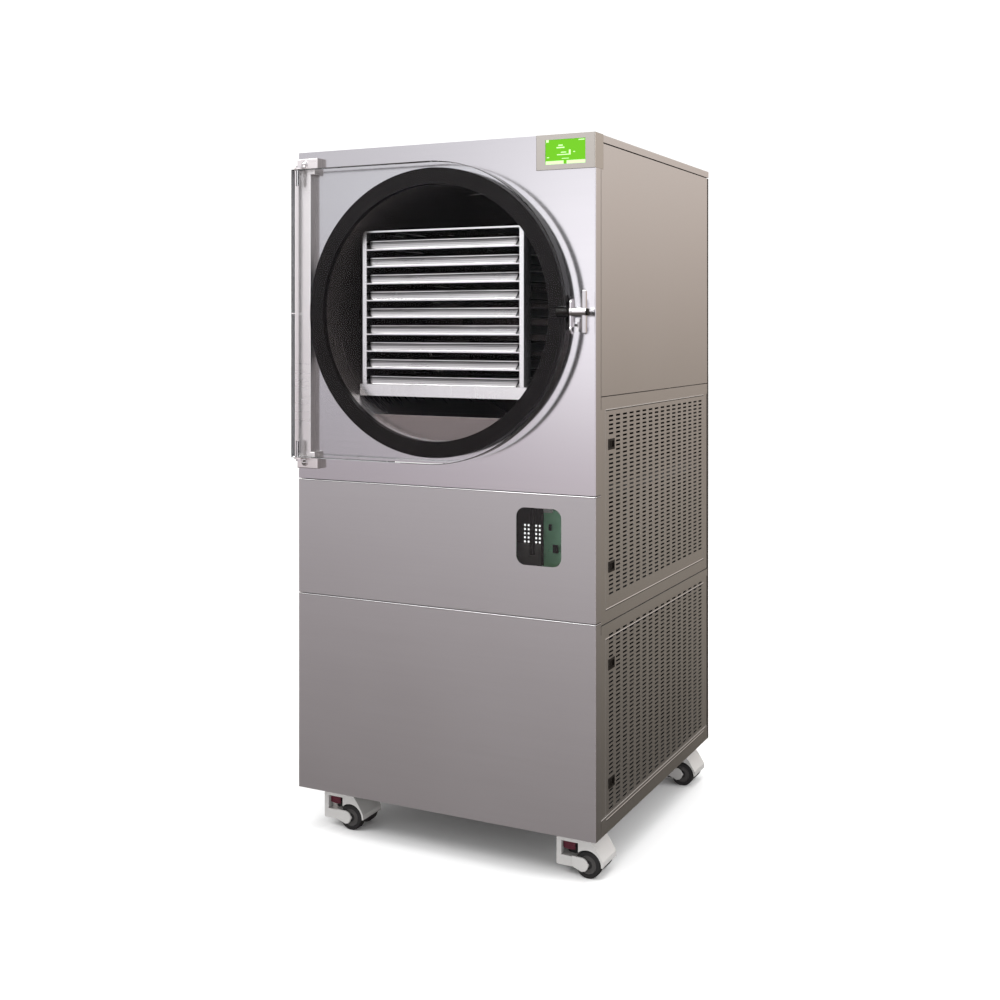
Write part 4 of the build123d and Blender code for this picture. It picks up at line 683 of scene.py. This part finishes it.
# ---- panel latches ----
# Flush moulded housings in the edges of the slotted side covers, each with a ribbed finger slide. Both
# are black plastic, clipped in from outside.
black_plastic = surface(
    "black_plastic", (0.010, 0.008, 0.006), (0.006, 0.004, 0.003), 0.4, 0.55,
    stretch=(120, 120, 120), bump=0.1, Specular_IOR_Level=0.2,
)
dress(black_plastic, "panel_latch_housings", *(f"panel_latch_slider_{i}" for i in range(1, 5)))

# ---- display ----
# A folded stainless corner piece wraps the fascia's top right corner and holds a small lit touch
# screen. The screen shows plain pale keys and lines on green.
bezel_steel = surface(
    "bezel_steel", (0.54, 0.51, 0.47), (0.47, 0.45, 0.41), 0.34, 0.46,
    stretch=(200, 3, 3), bump=0.03, depth=0.0001, cloud=2, Metallic=1,
)
dress(bezel_steel, "display_bezel")
screen_green = surface(
    "screen_green", (0.02, 0.07, 0.004), (0.015, 0.06, 0.003), 0.1, 0.14,
    stretch=(5, 5, 5), bump=0.0, Emission_Strength=1, Emission_Color=(0.16, 0.56, 0.006, 1),
    Specular_IOR_Level=0.2,
)
dress(screen_green, "touch_screen")
screen_pale = surface(
    "screen_pale", (0.30, 0.5, 0.2), (0.25, 0.45, 0.15), 0.1, 0.14,
    stretch=(5, 5, 5), bump=0.0, Emission_Strength=1, Emission_Color=(0.52, 0.80, 0.40, 1),
    Specular_IOR_Level=0.2,
)


def add_box(bm, low, high):
    """A rectangular block between two opposite corners, added to a bmesh."""
    size = Vector(high) - Vector(low)
    middle = (Vector(high) + Vector(low)) / 2
    made = bmesh.ops.create_cube(bm, size=1)["verts"]
    bmesh.ops.scale(bm, vec=size, verts=made)
    bmesh.ops.translate(bm, vec=middle, verts=made)


def add_on_front(bm, node, shares, proud):
    """A block on a CAD node's front; shares are its left, bottom, right and top in that front."""
    low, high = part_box(node)
    size = high - low
    left, bottom, right, top = shares
    add_box(
        bm,
        (low.x + left * size.x, low.y - proud, low.z + bottom * size.z),
        (low.x + right * size.x, low.y + SEAT, low.z + top * size.z),
    )


SCREEN_MARKS = (
    (0.05, 0.05, 0.46, 0.19), (0.53, 0.05, 0.95, 0.19), (0.06, 0.84, 0.12, 0.93), (0.30, 0.62, 0.48, 0.66),
    (0.34, 0.70, 0.44, 0.74), (0.40, 0.46, 0.52, 0.49), (0.31, 0.38, 0.60, 0.41), (0.58, 0.38, 0.62, 0.55),
    (0.80, 0.86, 0.93, 0.89), (0.08, 0.30, 0.13, 0.33), (0.68, 0.46, 0.72, 0.49), (0.42, 0.25, 0.58, 0.27),
)
MARK_PROUD = 0.0002
marks = bmesh.new()
for shares in SCREEN_MARKS:
    add_on_front(marks, "touch_screen", shares, MARK_PROUD)
finish_piece("screen_marks", marks, "cabinet", screen_pale)

# ---- window ----
# A clear moulded pane in the service cover, dropped in from behind. It shows the control board's edge
# and the back cover's small holes.


def clear_plastic(name, tint, roughness, ior, glare):
    """A clear solid that lets light through to what is behind it."""
    material = bpy.data.materials.new(name)
    material.use_nodes = True
    tree = material.node_tree
    shader = tree.nodes["Principled BSDF"]
    for socket, value in (
        ("Base Color", (*tint, 1)), ("Roughness", roughness), ("IOR", ior), ("Transmission Weight", 1),
        ("Specular Tint", (*glare, 1)),
    ):
        shader.inputs[socket].default_value = value
    unshaded, mix, path = add_nodes(
        tree, "ShaderNodeBsdfTransparent", "ShaderNodeMixShader", "ShaderNodeLightPath"
    )
    unshaded.inputs["Color"].default_value = (*tint, 1)
    join(
        tree,
        (path.outputs["Is Shadow Ray"], mix.inputs[0]),
        (shader.outputs[0], mix.inputs[1]),
        (unshaded.outputs[0], mix.inputs[2]),
        (mix.outputs[0], tree.nodes["Material Output"].inputs["Surface"]),
    )
    return material


clear_pane = clear_plastic("clear_pane", (0.93, 0.95, 0.95), 0.02, 1.45, (0.5, 0.5, 0.5))
dress(clear_pane, "window_pane")

# ---- chamber ----
# A rolled stainless drum, welded to its flange and polished inside, with painted light on the side and
# floor that face the room's light. A black rubber ring hooks over the flange.
drum_steel_painted_light = surface(
    "drum_steel_painted_light", (0.26, 0.22, 0.215), (0.19, 0.165, 0.16), 0.2, 0.3,
    stretch=(3, 160, 3), bump=0.03, depth=0.0002, cloud=2, Metallic=0.8,
)
# painted light: the faces that look left and up are lighter than the rest of the drum
retone(drum_steel_painted_light, (-1, 0, 0), (0.80, 0.78, 0.78), 0.14)
retone(drum_steel_painted_light, (0, 0, 1), (0.55, 0.53, 0.56), 0.3)
dress(drum_steel_painted_light, "chamber")
ring_rubber = surface(
    "ring_rubber", (0.0075, 0.006, 0.006), (0.004, 0.003, 0.003), 0.3, 0.45,
    stretch=(30, 30, 30), bump=0.1, Specular_IOR_Level=0.1,
)
dress(ring_rubber, "door_gasket")

# ---- trays and their rack ----
# Drawn stainless trays with rolled rims rest on the bright folded shelves of a rack. Painted light and
# shade mark the fronts: a bright rim and foot at each level, painted shade between the shelves and
# deeper in, and dark painted shade lines at the drawn corners.

# painted light and shade on a tray's front at each share of the pitch above its foot
PAINTED_BAND_LIGHT = (
    (0.0, (1, 1, 1)), (0.05, (1, 1, 1)), (0.08, (0.70, 0.69, 0.69)), (0.14, (0.95, 0.94, 0.94)),
    (0.20, (0.50, 0.49, 0.49)), (0.25, (0.74, 0.73, 0.73)), (0.29, (0.20, 0.19, 0.19)),
    (0.34, (0.34, 0.33, 0.33)), (0.38, (0.07, 0.06, 0.06)), (0.43, (0.10, 0.09, 0.09)),
    (0.455, (1, 1, 1)), (1.0, (1, 1, 1)),
)
# streaks that wobble the painted bands
STREAKS = (5, 5, 420)
STREAK_DETAIL = 2
STREAK_WOBBLE = 0.11
CORNER_LEAN = 0.016  # a tray's drawn corner leans outwards this much over one level
# painted shade: a dark line at each drawn corner, and painted shade that deepens behind the front
CORNER_LINE = (0.0009, 0.0022)  # half the corner's dark line, and where it has faded out
CORNER_PAINTED_SHADE = 0.1
DEPTH_FADE = (0.006, 0.05)  # behind the front
DEPTH_PAINTED_SHADE = 0.03


def painted_tray_light_group():
    """Painted light and shade for each rack level: a bright rim and foot, a darker upper half, and painted
    shade at the corners and in the depths.
    """
    group = bpy.data.node_groups.new("painted_tray_light", "ShaderNodeTree")
    inputs = {name: "Float" for name in ("Foot", "Pitch", "Front", "End", "Bands")}
    sockets(group, inputs, {"Shade": "Float"})
    given, gives, where, split, stretch, streak, ramp, ends, deep = add_nodes(
        group, "NodeGroupInput", "NodeGroupOutput", "ShaderNodeTexCoord", "ShaderNodeSeparateXYZ",
        "ShaderNodeVectorMath", "ShaderNodeTexNoise", "ShaderNodeValToRGB", "ShaderNodeMapRange",
        "ShaderNodeMapRange",
    )
    stretch.operation = "MULTIPLY"
    stretch.inputs[1].default_value = STREAKS
    streak.inputs["Scale"].default_value = 1
    streak.inputs["Detail"].default_value = STREAK_DETAIL
    fill_ramp(ramp.color_ramp, PAINTED_BAND_LIGHT, 0, 1)
    set_range(ends, *CORNER_LINE, CORNER_PAINTED_SHADE, 1)
    set_range(deep, *DEPTH_FADE, 1, DEPTH_PAINTED_SHADE)
    level = chain(
        group,
        ("SUBTRACT", split.outputs["Z"], given.outputs["Foot"]),
        ("DIVIDE", given.outputs["Pitch"]),
        ("FRACT",),
    )
    wobble = chain(group, ("SUBTRACT", streak.outputs["Fac"], 0.5), ("MULTIPLY", STREAK_WOBBLE))
    lean = chain(group, ("MULTIPLY", level, CORNER_LEAN))
    corner_line = chain(
        group,
        ("ABSOLUTE", split.outputs["X"]),
        ("SUBTRACT", given.outputs["End"]),
        ("SUBTRACT", lean),
        ("ABSOLUTE",),
    )
    banded = chain(
        group,
        ("MULTIPLY", ramp.outputs[0], ends.outputs[0]),
        ("SUBTRACT", 1),
        ("MULTIPLY_ADD", given.outputs["Bands"], 1),
    )
    join(
        group,
        (where.outputs["Object"], split.inputs[0]),
        (where.outputs["Object"], stretch.inputs[0]),
        (stretch.outputs[0], streak.inputs["Vector"]),
        (chain(group, ("ADD", level, wobble)), ramp.inputs[0]),
        (corner_line, ends.inputs["Value"]),
        (chain(group, ("SUBTRACT", split.outputs["Y"], given.outputs["Front"])), deep.inputs["Value"]),
        (chain(group, ("MULTIPLY", banded, deep.outputs[0])), gives.inputs[0]),
    )
    return group


painted_tray_light = painted_tray_light_group()
TRAY_COUNT = 9
CORNER_INSET = 0.0065  # a drawn corner's line inside the tray's side, at its foot
trays = [f"tray_{i}" for i in range(1, TRAY_COUNT + 1)]
first_low, first_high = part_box(trays[0])
last_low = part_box(trays[-1])[0]
tray_pitch = abs(last_low.z - first_low.z) / (TRAY_COUNT - 1)
trays_foot = min(first_low.z, last_low.z)
trays_front = first_low.y


def shade_levels(material, end, bands):
    """Paints shade on a rack material by level and depth."""
    tree = material.node_tree
    shader = tree.nodes["Principled BSDF"]
    shade, darker = add_nodes(tree, "ShaderNodeGroup", "ShaderNodeVectorMath")
    shade.node_tree = painted_tray_light
    darker.operation = "SCALE"
    for name, value in (
        ("Foot", trays_foot), ("Pitch", tray_pitch), ("Front", trays_front), ("End", end), ("Bands", bands),
    ):
        shade.inputs[name].default_value = value
    join(
        tree,
        (shader.inputs["Base Color"].links[0].from_socket, darker.inputs[0]),
        (shade.outputs[0], darker.inputs["Scale"]),
        (darker.outputs[0], shader.inputs["Base Color"]),
    )


rack_steel = surface(
    "rack_steel", (0.95, 0.94, 0.94), (0.86, 0.85, 0.85), 0.2, 0.3,
    stretch=(120, 3, 3), bump=0.03, depth=0.0001, cloud=6, Metallic=1,
)
tray_steel = surface(
    "tray_steel", (0.92, 0.90, 0.90), (0.78, 0.76, 0.76), 0.24, 0.36,
    stretch=(3, 120, 120), bump=0.04, depth=0.0001, cloud=6, Metallic=1,
)
# painted light and shade on the trays' fronts; the rack gets painted shade in its depths only
shade_levels(tray_steel, first_high.x - CORNER_INSET, 1)
shade_levels(rack_steel, 1, 0)
dress(rack_steel, "tray_rack")
dress(tray_steel, *trays)

# ---- door ----
# One thick slab of clear acrylic, sawn and flame polished, that swings on two upright pins in a bar
# of folded steel. Its latch turns on a black bolt through the rim.
acrylic = clear_plastic("acrylic", (0.97, 0.98, 0.98), 0.0, 1.49, (0.05, 0.05, 0.055))
dress(acrylic, "door_slab")
bar_steel_painted_shade = surface(
    "bar_steel_painted_shade", (0.98, 0.94, 0.93), (0.92, 0.88, 0.87), 0.25, 0.34,
    stretch=(3, 3, 200), bump=0.03, depth=0.0001, cloud=4, Metallic=1,
)
# painted shade: the bar's faces that look right are dark beside its bright front
retone(bar_steel_painted_shade, (1, 0, 0), (0.36, 0.34, 0.325), 0.35)
dress(bar_steel_painted_shade, "hinge_bar")
bright_steel = surface(
    "bright_steel", (0.75, 0.74, 0.74), (0.66, 0.65, 0.65), 0.08, 0.16,
    stretch=(80, 80, 80), bump=0.02, depth=0.0001, cloud=8, Metallic=1,
)
dress(bright_steel, "hinge_pins", "keeper", "latch_hook", "latch_handle")
dress(black_plastic, "latch_bolt")

NUT_PROFILE = (
    (0.0096, 0.0), (0.0092, 0.0014), (0.0062, 0.0016), (0.0060, 0.0038), (0.0052, 0.0060),
    (0.0032, 0.0078), (0.0, 0.0085),
)
BAR_PROUD = 0.020  # the bar's face before the covers' fronts
NUT_ASIDE = 0.023  # a nut's middle from the bar's left edge
NUT_DROP = 0.0145  # and from its end
bar_low, bar_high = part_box("hinge_bar")
nuts = bmesh.new()
for z in (bar_low.z + NUT_DROP, bar_high.z - NUT_DROP):
    spot = (bar_low.x + NUT_ASIDE, front_y - BAR_PROUD, z)
    add_turned(nuts, spot, (0, -1, 0), NUT_PROFILE, segments=24)
finish_piece("bar_nuts", nuts, "cabinet", bright_steel)

# a matte strip on the hinge edge: partly the slab's sawn face, partly painted shade for the dark line that
# the slab's edge shows through the clear door
sawn_acrylic_and_shade = surface(
    "sawn_acrylic_and_shade", (0.33, 0.33, 0.34), (0.26, 0.26, 0.27), 0.6, 0.8,
    stretch=(30, 30, 300), bump=0.2, Specular_IOR_Level=0.2,
)
SAWN_INSET = 0.0015
SAWN_DEPTH = 0.0003
door_low, door_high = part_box("door_slab")
door_middle = box_middle("door_slab")
sawn = bmesh.new()
for low_z, high_z in ((door_low.z, door_middle.z), (door_middle.z, door_high.z)):
    add_box(
        sawn,
        (door_low.x + SEAT, door_low.y + SAWN_INSET, low_z + SAWN_INSET),
        (door_low.x + SEAT + SAWN_DEPTH, door_high.y - SAWN_INSET, high_z - SAWN_INSET),
    )
finish_piece("sawn_edge_and_shade", sawn, "door", sawn_acrylic_and_shade)

KNURL_COUNT = 20
KNURL_CIRCLE = 0.00903  # how far the ribs stand from the bolt's axis
KNURL_PROFILE = ((0, 0), (0.0011, 0.0004), (0.0011, 0.0050), (0, 0.0054))
knurl = bmesh.new()
for i in range(KNURL_COUNT):
    angle = 2 * pi * i / KNURL_COUNT
    spot = (
        door_high.x + SEAT,
        door_middle.y + KNURL_CIRCLE * cos(angle),
        door_middle.z + KNURL_CIRCLE * sin(angle),
    )
    add_turned(knurl, spot, (1, 0, 0), KNURL_PROFILE, segments=6)
finish_piece("bolt_knurl", knurl, "door", black_plastic)

# ---- machinery ----
# Pump, compressor and condenser with its fan stand on the floor pan and deck, seen through the slots.
# The control board hangs behind the window, with soldered parts and two rigid pipes beside it.
pump_paint = surface(
    "pump_paint", (0.20, 0.21, 0.18), (0.15, 0.155, 0.135), 0.4, 0.6,
    stretch=(40, 40, 40), bump=0.2,
)
compressor_paint = surface("compressor_paint", (0.03, 0.03, 0.03), (0.018, 0.018, 0.018), 0.3, 0.5)
coil_metal = surface("coil_metal", (0.42, 0.42, 0.42), (0.28, 0.28, 0.28), 0.35, 0.5, Metallic=1)
board_lacquer = surface(
    "board_lacquer", (0.62, 1.0, 0.72), (0.26, 0.66, 0.38), 0.25, 0.4,
    stretch=(60, 60, 60), bump=0.2, cloud=26,
)
dress(pump_paint, "vacuum_pump")
dress(compressor_paint, "compressor")
dress(coil_metal, "condenser_coil")
dress(black_plastic, "fan_rotor", "power_inlet", "power_switch")
dress(board_lacquer, "control_board")

white_nylon = surface("white_nylon", (0.85, 0.85, 0.80), (0.75, 0.75, 0.70), 0.4, 0.5)
relay_yellow = surface("relay_yellow", (0.75, 0.55, 0.10), (0.65, 0.45, 0.07), 0.4, 0.5)
# shares of the board's front, then how proud each part is
BOARD_PARTS = {
    "terminals": (
        ((0.04, 0.06, 0.20, 0.12), 0.008), ((0.30, 0.06, 0.46, 0.12), 0.008),
        ((0.80, 0.30, 0.90, 0.62), 0.009), ((0.10, 0.86, 0.34, 0.92), 0.008),
        ((0.50, 0.86, 0.74, 0.92), 0.008),
    ),
    "relays": (
        ((0.12, 0.20, 0.22, 0.30), 0.012), ((0.30, 0.20, 0.40, 0.30), 0.012),
        ((0.62, 0.10, 0.70, 0.20), 0.010),
    ),
    "chips": (
        ((0.34, 0.46, 0.46, 0.54), 0.003), ((0.24, 0.68, 0.30, 0.74), 0.003),
        ((0.62, 0.66, 0.72, 0.72), 0.003), ((0.48, 0.30, 0.54, 0.34), 0.004),
    ),
}
BOARD_FINISHES = {"terminals": white_nylon, "relays": relay_yellow, "chips": black_plastic}
for name, spots in BOARD_PARTS.items():
    parts = bmesh.new()
    for shares, proud in spots:
        add_on_front(parts, "control_board", shares, proud)
    finish_piece(f"board_{name}", parts, "cabinet", BOARD_FINISHES[name])

CONDUITS = (  # top, foot and radius
    ((0.212, -0.330, 0.862), (0.209, -0.328, 0.725), 0.0065),
    ((0.230, -0.318, 0.862), (0.230, -0.316, 0.700), 0.0035),
)
conduits = bmesh.new()
for top, foot, radius in CONDUITS:
    along = Vector(foot) - Vector(top)
    wall = ((radius, 0), (radius, along.length))
    add_turned(conduits, top, along.normalized(), wall, segments=12)
finish_piece("control_conduits", conduits, "cabinet", black_plastic)

# ---- drain ----
# A small brass ball valve at the foot of the back cover, where the melted ice runs out. Its steel lever
# is dipped in red plastic.
valve_brass = surface("valve_brass", (0.70, 0.52, 0.24), (0.55, 0.40, 0.17), 0.25, 0.4, Metallic=1)
lever_dip = surface("lever_dip", (0.45, 0.03, 0.02), (0.35, 0.02, 0.02), 0.35, 0.5)
dress(valve_brass, "drain_valve")
dress(lever_dip, "valve_lever")

# ---- rear filter ----
# A pleated grey filter in a folded frame, clipped behind the back cover's lower slots. It keeps dust
# off the condenser, and its near-black fibre is painted shade that keeps light from showing through.
FILTER_HALF = (0.225, 0.082)  # across and up
FILTER_MIDDLE = 0.330  # above the cabinet's foot
FILTER_DEPTH = 0.006
COVER_SHEET = 0.003  # from the back cover's outside to the back of the filter
PLEAT = 0.0075
PLEAT_INSET = 0.001
FILTER_RAIL = 0.006
# painted shade: the fibre is nearly black so the slots show shade inside
filter_fibre_painted_shade = surface(
    "filter_fibre_painted_shade", (0.05, 0.05, 0.05), (0.03, 0.03, 0.03), 0.8, 0.95,
    stretch=(400, 400, 400), bump=0.4,
)
half_x, half_z = FILTER_HALF
filter_back = back_high.y - COVER_SHEET
filter_z = base_z + FILTER_MIDDLE
filter_mesh = bmesh.new()
columns = []
for i in range(round(2 * half_x / PLEAT) + 1):
    x = -half_x + i * PLEAT
    y = filter_back - (PLEAT_INSET if i % 2 else FILTER_DEPTH - PLEAT_INSET)
    columns.append([filter_mesh.verts.new((x, y, filter_z + way * half_z)) for way in (-1, 1)])
for first, second in zip(columns, columns[1:]):
    filter_mesh.faces.new((first[0], second[0], second[1], first[1]))
for (low_x, low_z), (high_x, high_z) in (
    ((-half_x, -half_z), (half_x, -half_z + FILTER_RAIL)),
    ((-half_x, half_z - FILTER_RAIL), (half_x, half_z)),
    ((-half_x, -half_z), (-half_x + FILTER_RAIL, half_z)),
    ((half_x - FILTER_RAIL, -half_z), (half_x, half_z)),
):
    add_box(
        filter_mesh,
        (low_x, filter_back - FILTER_DEPTH, filter_z + low_z),
        (high_x, filter_back, filter_z + high_z),
    )
finish_piece("rear_filter", filter_mesh, "cabinet", filter_fibre_painted_shade, flat_angle=0.3)
